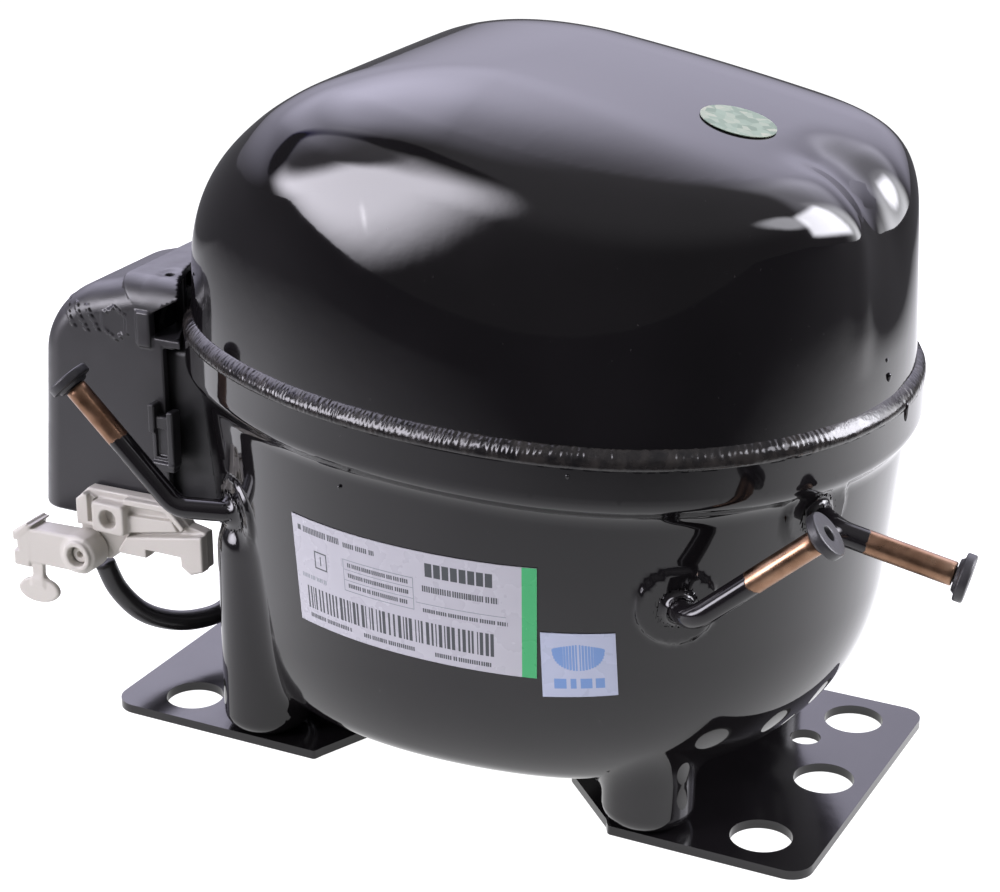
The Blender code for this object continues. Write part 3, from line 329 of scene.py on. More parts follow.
def mesh_object(name, verts, faces, materials, normals=None, indices=None):
    mesh = bpy.data.meshes.new(name)
    mesh.from_pydata(world(verts).tolist(), [], faces)
    mesh.validate()
    for material in materials:
        mesh.materials.append(material)
    if indices is not None:
        mesh.polygons.foreach_set("material_index", np.asarray(indices, np.int32))
    mesh.shade_smooth()
    if normals is not None:
        mesh.normals_split_custom_set_from_vertices(normals.tolist())
    return link(bpy.data.objects.new(name, mesh))


def piece(obj, body, replaced=None):
    """Tell the frame which body the object rides on, and hide the CAD piece it replaces."""
    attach(obj, body)
    if replaced:
        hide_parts(replaced)


def nets(field, low, high, step):
    """Quads on a field's zero surface: one vertex per crossed cell, moved onto the surface."""
    low, high = np.array(low, float), np.array(high, float)
    count = np.ceil((high - low) / step).astype(int) + 1
    ticks = [low[i] + step * np.arange(count[i]) for i in range(3)]
    values = np.empty(count)
    grid_x, grid_y = np.meshgrid(ticks[0], ticks[1], indexing="ij")
    for k, z in enumerate(ticks[2]):
        values[:, :, k] = field(np.stack([grid_x, grid_y, np.full_like(grid_x, z)], -1))
    inside = values < 0
    corners = np.zeros(count - 1, int)
    for i, j, k in np.ndindex(2, 2, 2):
        corners += inside[i : count[0] - 1 + i, j : count[1] - 1 + j, k : count[2] - 1 + k]
    cells = np.argwhere((corners > 0) & (corners < 8))
    ids = np.full(count - 1, -1, np.int64)
    ids[tuple(cells.T)] = np.arange(len(cells))

    # each vertex starts at the mean of the crossings on its cell's twelve edges
    total, hits = np.zeros((len(cells), 3)), np.zeros(len(cells))
    for axis in range(3):
        others = [other for other in range(3) if other != axis]
        for pair in np.ndindex(2, 2):
            start = np.zeros(3, int)
            start[others] = pair
            end = start.copy()
            end[axis] = 1
            first = values[tuple((cells + start).T)]
            second = values[tuple((cells + end).T)]
            hit = (first < 0) != (second < 0)
            t = np.where(hit, first / np.where(hit, first - second, 1), 0)
            crossing = start + t[:, None] * (end - start)
            total[hit] += crossing[hit]
            hits[hit] += 1
    verts = low + (cells + total / hits[:, None]) * step

    # each crossed grid edge joins the four cells round it
    quads = []
    for axis in range(3):
        b, c = (axis + 1) % 3, (axis + 2) % 3
        near, far = [slice(None)] * 3, [slice(None)] * 3
        near[axis], far[axis] = slice(0, count[axis] - 1), slice(1, count[axis])
        first, second = inside[tuple(near)], inside[tuple(far)]
        for outward, mask in ((True, first & ~second), (False, ~first & second)):
            edges = np.argwhere(mask)
            clear = (edges[:, b] > 0) & (edges[:, c] > 0)
            clear &= (edges[:, b] < count[b] - 1) & (edges[:, c] < count[c] - 1)
            edges = edges[clear]
            four = []
            for step_b, step_c in ((-1, -1), (0, -1), (0, 0), (-1, 0)):
                cell = edges.copy()
                cell[:, b] += step_b
                cell[:, c] += step_c
                four.append(ids[tuple(cell.T)])
            four = np.stack(four, 1)
            quads.append(four if outward else four[:, ::-1])
    quads = np.concatenate(quads)
    quads = quads[(quads >= 0).all(1)]

    for _ in range(4):
        dist = field(verts)
        slope = gradient(field, verts, 0.02)
        square = (slope * slope).sum(-1)
        move = np.where(square > 0.05, dist / np.maximum(square, 1e-6), 0)[:, None] * slope
        size = np.linalg.norm(move, axis=1, keepdims=True)
        move *= np.minimum(1, 0.35 * step / np.maximum(size, 1e-9))
        verts = verts - move
    return verts, quads.tolist(), normals_of(field, verts)


def field_piece(name, field, low, high, step, material, body, replaced=None):
    verts, faces, normals = nets(field, low, high, step)
    piece(mesh_object(name, verts, faces, [material], normals), body, replaced)


def ring_angles(count):
    return np.arange(count) * 2 * math.pi / count


def last_inside(outside, shape, far, halvings):
    """Bisection for the greatest reach that is still inside."""
    near, beyond = np.zeros(shape), np.full(shape, far)
    for _ in range(halvings):
        middle = (near + beyond) / 2
        out = outside(middle)
        beyond, near = np.where(out, middle, beyond), np.where(out, near, middle)
    return near


def egg_points(directions, inset, halvings=36):
    """Plan points on the egg outline, moved inwards by the inset."""
    def outside(reach):
        return egg(reach * directions[..., 0], reach * directions[..., 1]) + inset > 0

    reach = last_inside(outside, directions.shape[:-1], 140.0, halvings)
    return reach[..., None] * directions


def egg_ring(inset, count):
    angles = ring_angles(count)
    return egg_points(np.stack([np.cos(angles), np.sin(angles)], 1), inset)


def rays(field, eye, directions):
    def outside(reach):
        return field(eye + reach[..., None] * directions) > 0

    reach = last_inside(outside, directions.shape[:-1], 170.0, 34)
    return eye + reach[..., None] * directions


def grid_faces(rows, cols, wrap=True, base=0):
    i = np.arange(rows - 1)[:, None] * cols
    k = np.arange(cols if wrap else cols - 1)[None, :]
    after = (k + 1) % cols
    return np.stack([i + k, i + after, i + cols + after, i + cols + k], -1).reshape(-1, 4) + base


def capped_faces(rows, steps):
    last = (rows - 1) * steps
    caps = [list(range(steps - 1, -1, -1)), list(range(last, last + steps))]
    return grid_faces(rows, steps).tolist() + caps


def edge_faces(first, second, count):
    """Quads joining two rings that start at vertices first and second."""
    pairs = ((k, (k + 1) % count) for k in range(count))
    return [(first + k, second + k, second + after, first + after) for k, after in pairs]


def frame_of(axis):
    """Unit axis with two directions square to it; the axis isn't vertical."""
    along = unit(axis)
    side = unit(np.cross(along, (0, 0, 1.0)))
    return along, side, np.cross(along, side)


def lathe(profile, steps, centre, axis):
    """Surface of revolution of a profile of (radius, height), capped at both ends."""
    along, side, lift = frame_of(axis)
    angles = ring_angles(steps)
    ring = np.cos(angles)[:, None] * side + np.sin(angles)[:, None] * lift
    profile = np.array(profile, float)
    heights = profile[:, 1][:, None, None] * along
    verts = np.array(centre) + heights + profile[:, 0][:, None, None] * ring[None]
    return verts.reshape(-1, 3), capped_faces(len(profile), steps)


def bezier(start, corner, end, steps):
    curve = (k / steps for k in range(steps + 1))
    return [start * (1 - t) ** 2 + corner * 2 * t * (1 - t) + end * t * t for t in curve]


def rounded_profile(stations, steps):
    """Profile from rows of radius, height and corner rounding."""
    points = np.array(stations, float)[:, :2]
    out = [points[0]]
    for i in range(1, len(points) - 1):
        corner = points[i]
        before, after = points[i - 1] - corner, points[i + 1] - corner
        long_before, long_after = np.linalg.norm(before), np.linalg.norm(after)
        before, after = before / long_before, after / long_after
        half = math.acos(max(-1, min(1, float(before @ after)))) / 2
        back = min(stations[i][2] / math.tan(half), 0.48 * long_before, 0.48 * long_after)
        out += bezier(corner + before * back, corner, corner + after * back, steps)
    return out + [points[-1]]


def tube_rings(path, radius, steps):
    """Rings of vertices square to a path, without twist."""
    path = np.array(path, float)
    tangents = np.gradient(path, axis=0)
    tangents /= np.linalg.norm(tangents, axis=1, keepdims=True)
    side = frame_of(tangents[0])[1]
    angles = ring_angles(steps)
    rings = []
    for point, tangent in zip(path, tangents):
        side = side - tangent * (side @ tangent)
        side /= np.linalg.norm(side)
        lift = np.cross(tangent, side)
        ring = np.cos(angles)[:, None] * side + np.sin(angles)[:, None] * lift
        rings.append(point + radius * ring)
    return np.concatenate(rings)


def spline(points, per_span):
    """Catmull-Rom curve through the points."""
    points = [np.array(point, float) for point in (points[0], *points, points[-1])]
    out = []
    for i in range(1, len(points) - 2):
        a, b, c, d = points[i - 1 : i + 3]
        for k in range(per_span):
            t = k / per_span
            bend = (2 * a - 5 * b + 4 * c - d) * t * t
            out.append(0.5 * (2 * b + (c - a) * t + bend + (3 * b - a - 3 * c + d) * t**3))
    return out + [points[-2]]


def bend_path(wall, corner, end, inside, radius):
    """Path that starts inside the wall, rounds the corner and runs straight to the end."""
    root, out = unit(corner - wall), unit(end - corner)
    half = (math.pi - math.acos(float(root @ out))) / 2
    back = min(radius / math.tan(half), np.linalg.norm(corner - wall) * 0.95)
    start, finish = corner - root * back, corner + out * back
    run = inside + np.linalg.norm(start - wall)
    path = [wall - root * inside + root * run * k / 6 for k in range(6)]
    path += bezier(start, corner, finish, 14)
    return np.array(path + [finish + (end - finish) * k / 16 for k in range(1, 17)])


def wave(seed, count, terms, low, high):
    """Smooth periodic noise along a ring, about -1 to 1; low and high bound its frequency."""
    rng = np.random.default_rng(seed)
    angles = ring_angles(count)
    out = np.zeros(count)
    for _ in range(terms):
        phase = angles * rng.integers(low, high) + rng.uniform(0, 2 * math.pi)
        out += np.sin(phase) * rng.uniform(0.4, 1)
    return out / math.sqrt(terms)


# ------------------------------------------------------------------- node helpers
def feed(tree, socket, value):
    """Link a socket or set a plain value."""
    if isinstance(value, bpy.types.NodeSocket):
        tree.links.new(value, socket)
    else:
        socket.default_value = value


def add(tree, kind, inputs, **settings):
    node = tree.nodes.new(kind)
    for key, value in settings.items():
        setattr(node, key, value)
    for key, value in inputs.items():
        feed(tree, node.inputs[key], value)
    return node


def new_material(name):
    """Material, node tree, principled inputs and object coordinates in metres."""
    material = bpy.data.materials.new(name)
    material.use_nodes = True
    tree = material.node_tree
    place = tree.nodes.new("ShaderNodeTexCoord").outputs["Object"]
    return material, tree, tree.nodes["Principled BSDF"].inputs, place


def noise(tree, vector, scale, detail=3.0, rough=0.5, stretch=None):
    if stretch:
        vector = add(tree, "ShaderNodeMapping", {"Vector": vector, "Scale": stretch}).outputs[0]
    inputs = {"Vector": vector, "Scale": scale, "Detail": detail, "Roughness": rough}
    return add(tree, "ShaderNodeTexNoise", inputs).outputs["Fac"]


def ramp(tree, factor, stops):
    """Colour ramp; stops are (position, colour)."""
    node = add(tree, "ShaderNodeValToRGB", {"Fac": factor})
    elements = node.color_ramp.elements
    while len(elements) < len(stops):
        elements.new(0.5)
    for element, (position, colour) in zip(elements, stops):
        element.position = position
        element.color = (*colour, 1)
    return node.outputs["Color"]


def remap(tree, value, source, target, **settings):
    """Map a value from the source range to the target range, clamped."""
    inputs = {
        "From Min": source[0], "From Max": source[1],
        "To Min": target[0], "To Max": target[1], "Value": value,
    }
    return add(tree, "ShaderNodeMapRange", inputs, **settings).outputs["Result"]


def uneven(tree, vector, scale, detail, target):
    """Noise spread over a target range."""
    return remap(tree, noise(tree, vector, scale, detail), (0.3, 0.7), target)


def mix(tree, kind, factor, first, second):
    slot, out = (6, 2) if kind == "RGBA" else (2, 0)
    inputs = {"Factor": factor, slot: first, slot + 1: second}
    return add(tree, "ShaderNodeMix", inputs, data_type=kind).outputs[out]


def maths(tree, operation, first, second=None):
    inputs = {0: first} if second is None else {0: first, 1: second}
    return add(tree, "ShaderNodeMath", inputs, operation=operation).outputs[0]


def vector_maths(tree, operation, inputs, output=0):
    return add(tree, "ShaderNodeVectorMath", inputs, operation=operation).outputs[output]


def dot(tree, vector, direction):
    direction = tuple(float(part) for part in direction)
    return vector_maths(tree, "DOT_PRODUCT", {0: vector, 1: direction}, "Value")


def bump(tree, shader, height, strength, distance, under=None):
    """Bump with its depth in metres, optionally over another bump."""
    inputs = {"Strength": strength, "Distance": distance, "Height": height}
    if under is not None:
        inputs["Normal"] = under
    normal = add(tree, "ShaderNodeBump", inputs).outputs["Normal"]
    tree.links.new(normal, shader["Normal"])
    return normal


# ---------------------------------------------------------------------- materials
def dimmed(colour, share):
    return tuple(part * share for part in colour)


def enamel(name, peel, rough):
    """Dipped black enamel: near mirror gloss, faint orange peel, a few dust nibs."""
    material, tree, shader, place = new_material(name)
    black = (0.0045, 0.0040, 0.0045)
    coat = ramp(tree, noise(tree, place, scale=35, detail=2),
                [(0.3, black), (0.75, dimmed(black, 1.5))])
    nibs = noise(tree, place, scale=900, detail=2, rough=0.6)
    dust = remap(tree, nibs, source=(0.74, 0.8), target=(0.0, 0.5))
    colour = mix(tree, "RGBA", dust, first=coat, second=(0.06, 0.055, 0.055, 1))
    feed(tree, shader["Base Color"], colour)
    feed(tree, shader["Roughness"], uneven(tree, place, scale=60, detail=4, target=rough))
    under = bump(tree, shader, noise(tree, place, scale=130, detail=1),
                 strength=peel * 0.6, distance=0.0006)
    bump(tree, shader, noise(tree, place, scale=420, detail=2),
         strength=peel, distance=0.00012, under=under)
    shader["IOR"].default_value = 1.52
    return material


def weld_paint():
    material, tree, shader, place = new_material("weld_bead_paint")
    colour = ramp(tree, noise(tree, place, scale=260, detail=4),
                  [(0.35, (0.006, 0.0055, 0.006)), (0.85, (0.035, 0.031, 0.028))])
    feed(tree, shader["Base Color"], colour)
    feed(tree, shader["Roughness"],
         uneven(tree, place, scale=240, detail=3, target=(0.07, 0.24)))
    under = bump(tree, shader, noise(tree, place, scale=330, detail=2),
                 strength=0.3, distance=0.0004)
    bump(tree, shader, noise(tree, place, scale=1100, detail=2, rough=0.6),
         strength=0.2, distance=0.0002, under=under)
    return material


def copper():
    material, tree, shader, place = new_material("drawn_copper")
    colour = ramp(tree, noise(tree, place, scale=90, detail=5, rough=0.6), [
        (0.25, (0.30, 0.135, 0.085)), (0.55, (0.46, 0.23, 0.15)), (0.85, (0.60, 0.36, 0.26)),
    ])
    feed(tree, shader["Base Color"], colour)
    shader["Metallic"].default_value = 1.0
    feed(tree, shader["Roughness"],
         uneven(tree, place, scale=260, detail=4, target=(0.24, 0.46)))
    bump(tree, shader, noise(tree, place, scale=700, detail=3, rough=0.6),
         strength=0.12, distance=0.0002)
    return material


def plastic(name, colour, rough, grain=1500, strength=0.12, vary=0.12):
    """Moulded plastic; grain and strength set its bump, vary the darkening in patches."""
    material, tree, shader, place = new_material(name)
    patches = noise(tree, place, scale=40, detail=3)
    feed(tree, shader["Base Color"],
         ramp(tree, patches, [(0.3, dimmed(colour, 1 - vary)), (0.7, colour)]))
    feed(tree, shader["Roughness"],
         uneven(tree, place, scale=180, detail=4, target=(rough * 0.82, rough * 1.18)))
    bump(tree, shader, noise(tree, place, scale=grain, detail=2),
         strength=strength, distance=0.0002)
    return material


def metal(name, colour, rough, scale=400, stretch=None, strength=0.1, darker=0.7):
    """Metal with one noise for tone and gloss; stretch draws the grain out along an axis."""
    material, tree, shader, place = new_material(name)
    grain = noise(tree, place, scale, detail=4, rough=0.6, stretch=stretch)
    feed(tree, shader["Base Color"],
         ramp(tree, grain, [(0.3, dimmed(colour, darker)), (0.7, colour)]))
    shader["Metallic"].default_value = 1.0
    feed(tree, shader["Roughness"],
         remap(tree, grain, source=(0.3, 0.7), target=(rough * 0.8, rough * 1.25)))
    bump(tree, shader, noise(tree, place, scale * 2, detail=3, rough=0.6, stretch=stretch),
         strength=strength, distance=0.0002)
    return material


def film(name, colour, rough=0.28):
    material, tree, shader, place = new_material(name)
    patches = noise(tree, place, scale=70, detail=4)
    feed(tree, shader["Base Color"],
         ramp(tree, patches, [(0.3, dimmed(colour, 1 - 0.04)), (0.7, colour)]))
    feed(tree, shader["Roughness"],
         uneven(tree, place, scale=150, detail=3, target=(rough * 0.8, rough * 1.2)))
    bump(tree, shader, noise(tree, place, scale=500, detail=2), strength=0.03, distance=0.0001)
    return material


def foil():
    """Green seal foil broken into small cells of colour."""
    material, tree, shader, place = new_material("seal_foil_green")
    cells = add(tree, "ShaderNodeTexVoronoi", {"Vector": place, "Scale": 420.0})
    colour = ramp(tree, cells.outputs["Color"], [
        (0.1, (0.10, 0.15, 0.095)), (0.5, (0.17, 0.23, 0.16)), (0.9, (0.27, 0.29, 0.21)),
    ])
    feed(tree, shader["Base Color"], colour)
    shader["Metallic"].default_value = 0.35
    shader["Roughness"].default_value = 0.42
    bump(tree, shader, noise(tree, place, scale=900, detail=2), strength=0.12, distance=0.0001)
    return material


def tube_material(name, end, direction, bare):
    """Copper near the free end, black enamel with an uneven edge from there to the shell."""
    material, tree, shader, place = new_material(name)
    offset = vector_maths(tree, "SUBTRACT", {0: place, 1: tuple(world(end))})
    depth = dot(tree, offset, -direction)
    wobble = uneven(tree, place, scale=220, detail=3, target=(-0.0009, 0.0009))
    depth = maths(tree, "ADD", depth, wobble)
    edge, half_edge = bare * MM, 0.00018
    coat = remap(tree, depth, source=(edge - half_edge, edge + half_edge), target=(0.0, 1.0))
    bare_colour = ramp(tree, noise(tree, place, scale=120, detail=5, rough=0.6), [
        (0.25, (0.165, 0.088, 0.052)), (0.55, (0.30, 0.178, 0.115)),
        (0.85, (0.46, 0.31, 0.215)),
    ])
    enamel_black, enamel_rough = (0.0075, 0.0065, 0.0075, 1), 0.09
    feed(tree, shader["Base Color"], mix(tree, "RGBA", coat, bare_colour, enamel_black))
    feed(tree, shader["Metallic"], remap(tree, coat, source=(0, 1), target=(1.0, 0.0)))
    bare_rough = uneven(tree, place, scale=260, detail=4, target=(0.22, 0.42))
    feed(tree, shader["Roughness"], mix(tree, "FLOAT", coat, bare_rough, enamel_rough))
    under = bump(tree, shader, noise(tree, place, scale=700, detail=3, rough=0.6),
                 strength=0.08, distance=0.0002)
    bump(tree, shader, coat, strength=0.5, distance=0.00012, under=under)
    return material


ENAMEL = enamel("gloss_black_enamel", peel=0.035, rough=(0.035, 0.075))
ENAMEL_PLATE = enamel("foot_plate_enamel", peel=0.09, rough=(0.12, 0.2))
WELD = weld_paint()
COPPER = copper()

BOX_BLACK = plastic("housing_black_plastic", (0.022, 0.021, 0.023), rough=0.34, grain=2200,
                    strength=0.1)
DARK_PLASTIC = plastic("dark_moulding", (0.014, 0.014, 0.015), rough=0.42)
WHITE = plastic("clamp_white_nylon", (0.50, 0.475, 0.43), rough=0.45, grain=900, strength=0.08,
                vary=0.06)
JACKET = plastic("cable_jacket", (0.017, 0.016, 0.017), rough=0.33, grain=1200)
RUBBER = plastic("plug_rubber", (0.028, 0.027, 0.03), rough=0.42, grain=1400, strength=0.18)
PALE_PLASTIC = plastic("muffler_plastic", (0.62, 0.58, 0.47), rough=0.5, grain=900)
GASKET = plastic("gasket_fibre", (0.10, 0.12, 0.10), rough=0.75, grain=900, strength=0.3)

STEEL = metal("plated_steel", (0.50, 0.50, 0.52), rough=0.3)
SPRING = metal("spring_wire", (0.30, 0.30, 0.33), rough=0.28)
IRON = metal("cast_iron", (0.17, 0.17, 0.18), rough=0.55, scale=500, strength=0.35)
ALLOY = metal("die_cast_aluminium", (0.66, 0.67, 0.69), rough=0.36, scale=300)
LAMINATION = metal("stator_laminations", (0.26, 0.26, 0.29), rough=0.45, scale=60,
                   stretch=(1, 1, 40), strength=0.5, darker=0.45)
WINDING = metal("varnished_winding", (0.62, 0.26, 0.11), rough=0.33, scale=120,
                stretch=(1, 1, 9), strength=0.6, darker=0.35)

LABEL_WHITE = film("label_film_white", (0.40, 0.395, 0.43))
LABEL_PALE = film("label_film_pale", (0.40, 0.43, 0.54))
LABEL_GREEN = film("label_print_green", (0.045, 0.36, 0.13))
LABEL_INK = film("label_print_dark", (0.045, 0.05, 0.055), rough=0.4)
LABEL_GREY = film("label_print_grey", (0.20, 0.22, 0.235), rough=0.4)
LABEL_BLUE = film("label_print_blue", (0.15, 0.26, 0.50), rough=0.35)
FOIL = foil()


# ---------------------------------------------------------------------- top cover
COVER_COLS = 360
COVER_EYE = np.array([6.0, 0.0, 120.0])  # point the cover's rings are cast from


def cover_rings(field, inset, low_rings, high_rings):
    """Two skirt rings, rings cast up the wall and over the roof, and the top point."""
    angles = ring_angles(COVER_COLS)
    skirt = egg_ring(inset, COVER_COLS)
    rings = [np.column_stack([skirt, np.full(COVER_COLS, z)]) for z in (101.0, 107.0)]
    low, high = np.linspace(-3.0, 56.0, low_rings), np.linspace(57.5, 88.5, high_rings)
    for degrees in np.concatenate([low, high]):
        lift = math.radians(float(degrees))
        level = math.cos(lift)
        directions = np.column_stack([
            np.cos(angles) * level, np.sin(angles) * level,
            np.full(COVER_COLS, math.sin(lift)),
        ])
        rings.append(rays(field, COVER_EYE, directions))
    rings.append(rays(field, COVER_EYE, np.array([[0, 0, 1.0]])))
    return np.concatenate(rings), len(rings) - 1


def build_top_cover():
    cols = COVER_COLS
    outer, outer_rows = cover_rings(cover_outer, COVER_INSET, 66, 22)
    inner, inner_rows = cover_rings(cover_inner, COVER_INSET + WALL, 24, 8)
    outer_normals = normals_of(cover_outer, outer)
    outer_normals[: 2 * cols] = normals_of(plan_field, outer[: 2 * cols])
    base = len(outer)
    after = [(k + 1) % cols for k in range(cols)]
    outer_last, inner_last = (outer_rows - 1) * cols, base + (inner_rows - 1) * cols
    outer_top, inner_top = outer_rows * cols, base + inner_rows * cols
    faces = grid_faces(outer_rows, cols).tolist()
    faces += [(outer_last + k, outer_last + after[k], outer_top) for k in range(cols)]
    faces += grid_faces(inner_rows, cols, base=base)[:, ::-1].tolist()
    faces += [(inner_last + after[k], inner_last + k, inner_top) for k in range(cols)]
    faces += edge_faces(0, base, cols)
    normals = np.concatenate([outer_normals, -normals_of(cover_field, inner)])
    verts = np.concatenate([outer, inner])
    obj = mesh_object("top_cover_skin", verts, faces, [ENAMEL], normals)
    piece(obj, "shell", "top_cover")


# ---------------------------------------------------------------------- weld bead
BEAD_COLS = 2400
# section from the outside over the crown: inset, height, how far noise moves it inwards and
# upwards, then its inset and height under the paint run
BEAD = (
    (0.60, 110.20, 0.00, 0.00, 0.60, 110.2),
    (-0.10, 110.45, 0.09, 0.10, -0.12, 110.4),
    (-0.13, 111.10, 0.05, 0.04, -0.14, 111.0),
    (-0.05, 111.90, 0.05, 0.06, 0.00, 111.9),
    (0.25, 112.80, 0.09, 0.08, 0.45, 112.8),
    (0.75, 113.60, 0.10, 0.13, 1.00, 113.5),
    (1.40, 114.30, 0.10, 0.14, 1.60, 114.1),
    (2.10, 114.80, 0.09, 0.14, 2.10, 114.6),
    (2.60, 115.15, 0.08, 0.12, 2.60, 115.0),
    (3.00, 115.20, 0.04, 0.08, 3.00, 115.1),
    (3.25, 114.60, 0.00, 0.03, 3.25, 114.6),
    (3.25, 112.20, 0.00, 0.00, 3.25, 112.2),
)


def build_weld_bead():
    outline = egg_ring(0.0, BEAD_COLS)
    outward = normals_of(plan_field, np.column_stack([outline, np.zeros(BEAD_COLS)]))
    slow = wave(1, BEAD_COLS, 12, 6, 40)
    shared = wave(2, BEAD_COLS, 26, 150, 480)
    spatter = np.maximum(wave(3, BEAD_COLS, 30, 200, 620) - 1.05, 0) * 1.2
    turn = (np.degrees(ring_angles(BEAD_COLS)) + 180) % 360 - 180
    # a thick smooth run of enamel lies on the bead at the right end (+x)
    run = smooth((turn + 21) / 5.0) * (1 - smooth((turn + 4) / 8.0))
    rings = []
    for i, (inset, height, sway_in, sway_up, run_inset, run_height) in enumerate(BEAD):
        own = wave(10 + i, BEAD_COLS, 26, 150, 480)
        inwards = inset - sway_in * (0.3 * shared + 0.7 * own + 0.5 * slow)
        if i in (1, 2):
            inwards = inwards - 0.3 * spatter
        upwards = height + sway_up * (0.25 * shared + 0.6 * own + 0.7 * slow)
        inwards = inwards * (1 - run) + run_inset * run
        upwards = upwards * (1 - run) + (run_height + 0.10 * slow) * run
        plan = outline - outward[:, :2] * np.maximum(inwards, -0.35)[:, None]
        rings.append(np.column_stack([plan, np.maximum(upwards, 110.1)]))
    last = (len(BEAD) - 1) * BEAD_COLS
    faces = grid_faces(len(BEAD), BEAD_COLS).tolist()
    for k in range(BEAD_COLS):
        after = (k + 1) % BEAD_COLS
        faces.append((last + k, last + after, after, k))
    obj = mesh_object("seam_weld_bead", np.concatenate(rings), faces, [WELD])
    piece(obj, "shell", "seam_weld")


DRIPS = (  # turn in degrees, height, inset, half width, length down, half thickness
    (-1.0, 110.4, -0.05, 0.8, 3.4, 0.55),
    (-4.6, 120.6, 2.5, 0.7, 1.6, 0.6),
    (-5.2, 125.0, 2.8, 0.5, 0.8, 0.4),
    (-57.0, 108.6, -0.05, 0.5, 0.9, 0.3),
    (-103.0, 92.0, 3.9, 0.5, 0.7, 0.3),
)


def drip_field(centre, normal, across, down, thick):
    """Drop on the wall: an ellipsoid cut short above its centre."""
    side = unit(np.cross(normal, (0, 0, 1.0)))

    def field(pos):
        offset = pos - centre
        drop = offset[..., 2]
        drop = np.where(drop > 0, drop * 2.2, drop)
        terms = (offset @ side / across) ** 2 + (drop / down) ** 2
        return (np.sqrt(terms + (offset @ normal / thick) ** 2) - 1) * min(across, thick)

    return field


def build_drips():
    for k, (degrees, height, inset, *sizes) in enumerate(DRIPS):
        angle = math.radians(degrees)
        plan = egg_points(np.array([math.cos(angle), math.sin(angle)]), inset, halvings=40)
        centre = np.append(plan, height)
        normal = normals_of(plan_field, centre[None])[0]
        reach, margin = max(sizes), 0.6
        field_piece(f"enamel_drip_{k}", drip_field(centre, normal, *sizes),
                    centre - reach - margin, centre + reach + margin, 0.22,
                    ENAMEL, "shell")


# -------------------------------------------------------------------- foot plates
def arc_outline(corners, steps=10):
    """Outline from rows of x, y and corner radius, with each corner an arc."""
    out = []
    for i, (x, y, radius) in enumerate(corners):
        corner = np.array((x, y), float)
        before = unit(np.array(corners[i - 1][:2], float) - corner)
        after = unit(np.array(corners[(i + 1) % len(corners)][:2], float) - corner)
        half = math.acos(float(np.clip(before @ after, -1, 1))) / 2
        back = radius / math.tan(half)
        centre = corner + unit(before + after) * (radius / math.sin(half))
        start, end = corner + before * back - centre, corner + after * back - centre
        cosine = start @ end / (np.linalg.norm(start) * np.linalg.norm(end))
        sweep = math.acos(float(np.clip(cosine, -1, 1)))
        for k in range(steps + 1):
            t = k / steps
            arm = math.sin((1 - t) * sweep) * start + math.sin(t * sweep) * end
            out.append(tuple(centre + arm / math.sin(sweep)))
    return out


def hole_loop(x, y, radius, count=72):
    angles = (2 * math.pi * k / count for k in range(count))
    return [(x + radius * math.cos(angle), y + radius * math.sin(angle)) for angle in angles]


def foot_plate(name, outline, holes, replaced):
    bm = bmesh.new()
    edges = []
    for loop in [arc_outline(outline)] + [hole_loop(*hole) for hole in holes]:
        verts = [bm.verts.new(tuple(world((x, y, 0.0)))) for x, y in loop]
        edges += [bm.edges.new((verts[i - 1], verts[i])) for i in (*range(1, len(verts)), 0)]
    bmesh.ops.triangle_fill(bm, use_beauty=True, use_dissolve=False, edges=edges)
    # the fill may close the holes, so faces lying within a hole are removed
    for x, y, radius in holes:
        centre, reach = Vector(tuple(world((x, y, 0)))), (radius + 0.01) * MM
        gone = [
            face for face in bm.faces
            if (Vector(face.calc_center_median()) - centre).length < radius * MM * 0.98
            and all((vert.co - centre).length < reach for vert in face.verts)
        ]
        bmesh.ops.delete(bm, geom=gone, context="FACES_ONLY")
    for face in bm.faces:
        if face.normal.z > 0:
            face.normal_flip()
    top = bmesh.ops.extrude_face_region(bm, geom=bm.faces[:])
    for item in top["geom"]:
        if isinstance(item, bmesh.types.BMVert):
            item.co.z += PLATE_THICK * MM
    bmesh.ops.recalc_face_normals(bm, faces=bm.faces)
    mesh = bpy.data.meshes.new(name)
    bm.to_mesh(mesh)
    bm.free()
    mesh.materials.append(ENAMEL_PLATE)
    obj = link(bpy.data.objects.new(name, mesh))
    bevel = obj.modifiers.new("edge", "BEVEL")
    bevel.width = 0.00045
    bevel.segments = 3
    bevel.limit_method = "ANGLE"
    bevel.angle_limit = math.radians(50)
    bevel.harden_normals = True
    mesh.shade_smooth()
    piece(obj, "shell", replaced)


# ---------------------------------------------------------- tube stubs and plugs
STUB_STEPS = 40
PLUG = (  # radius, height from the tube end, corner rounding
    (0.02, -7.0, 0), (1.75, -7.0, 0.4), (1.95, -6.2, 0.3), (1.95, 0.3, 0.2), (3.9, 0.3, 0.5),
    (4.5, 1.2, 0.5), (5.95, 1.3, 0.55), (5.95, 3.8, 0.7), (1.9, 3.8, 0.5), (1.5, 2.0, 0.3),
    (0.02, 2.0, 0),
)


def build_tube(name, wall, corner, end, bare, bend):
    """Bent tube with a rounded mouth and a blind bore."""
    out = unit(end - corner)
    path = bend_path(wall, corner, end, inside=7.5, radius=bend)
    tip, lip = path[-1], path[-1] - out * 0.25
    rings = tube_rings([*path[:-1], lip], TUBE_RADIUS, STUB_STEPS)
    spokes = (rings[-STUB_STEPS:] - lip) / TUBE_RADIUS
    mouth = ((tip, 2.75), (tip, 2.4), (lip, BORE_RADIUS), (tip - out * 12, BORE_RADIUS))
    verts = np.concatenate([rings] + [centre + spokes * radius for centre, radius in mouth])
    faces = capped_faces(len(verts) // STUB_STEPS, STUB_STEPS)
    material = tube_material(name + "_tube_metal", end, out, bare)
    obj = mesh_object(name + "_tube_stub", verts, faces, [material])
    piece(obj, "shell", name + "_tube")


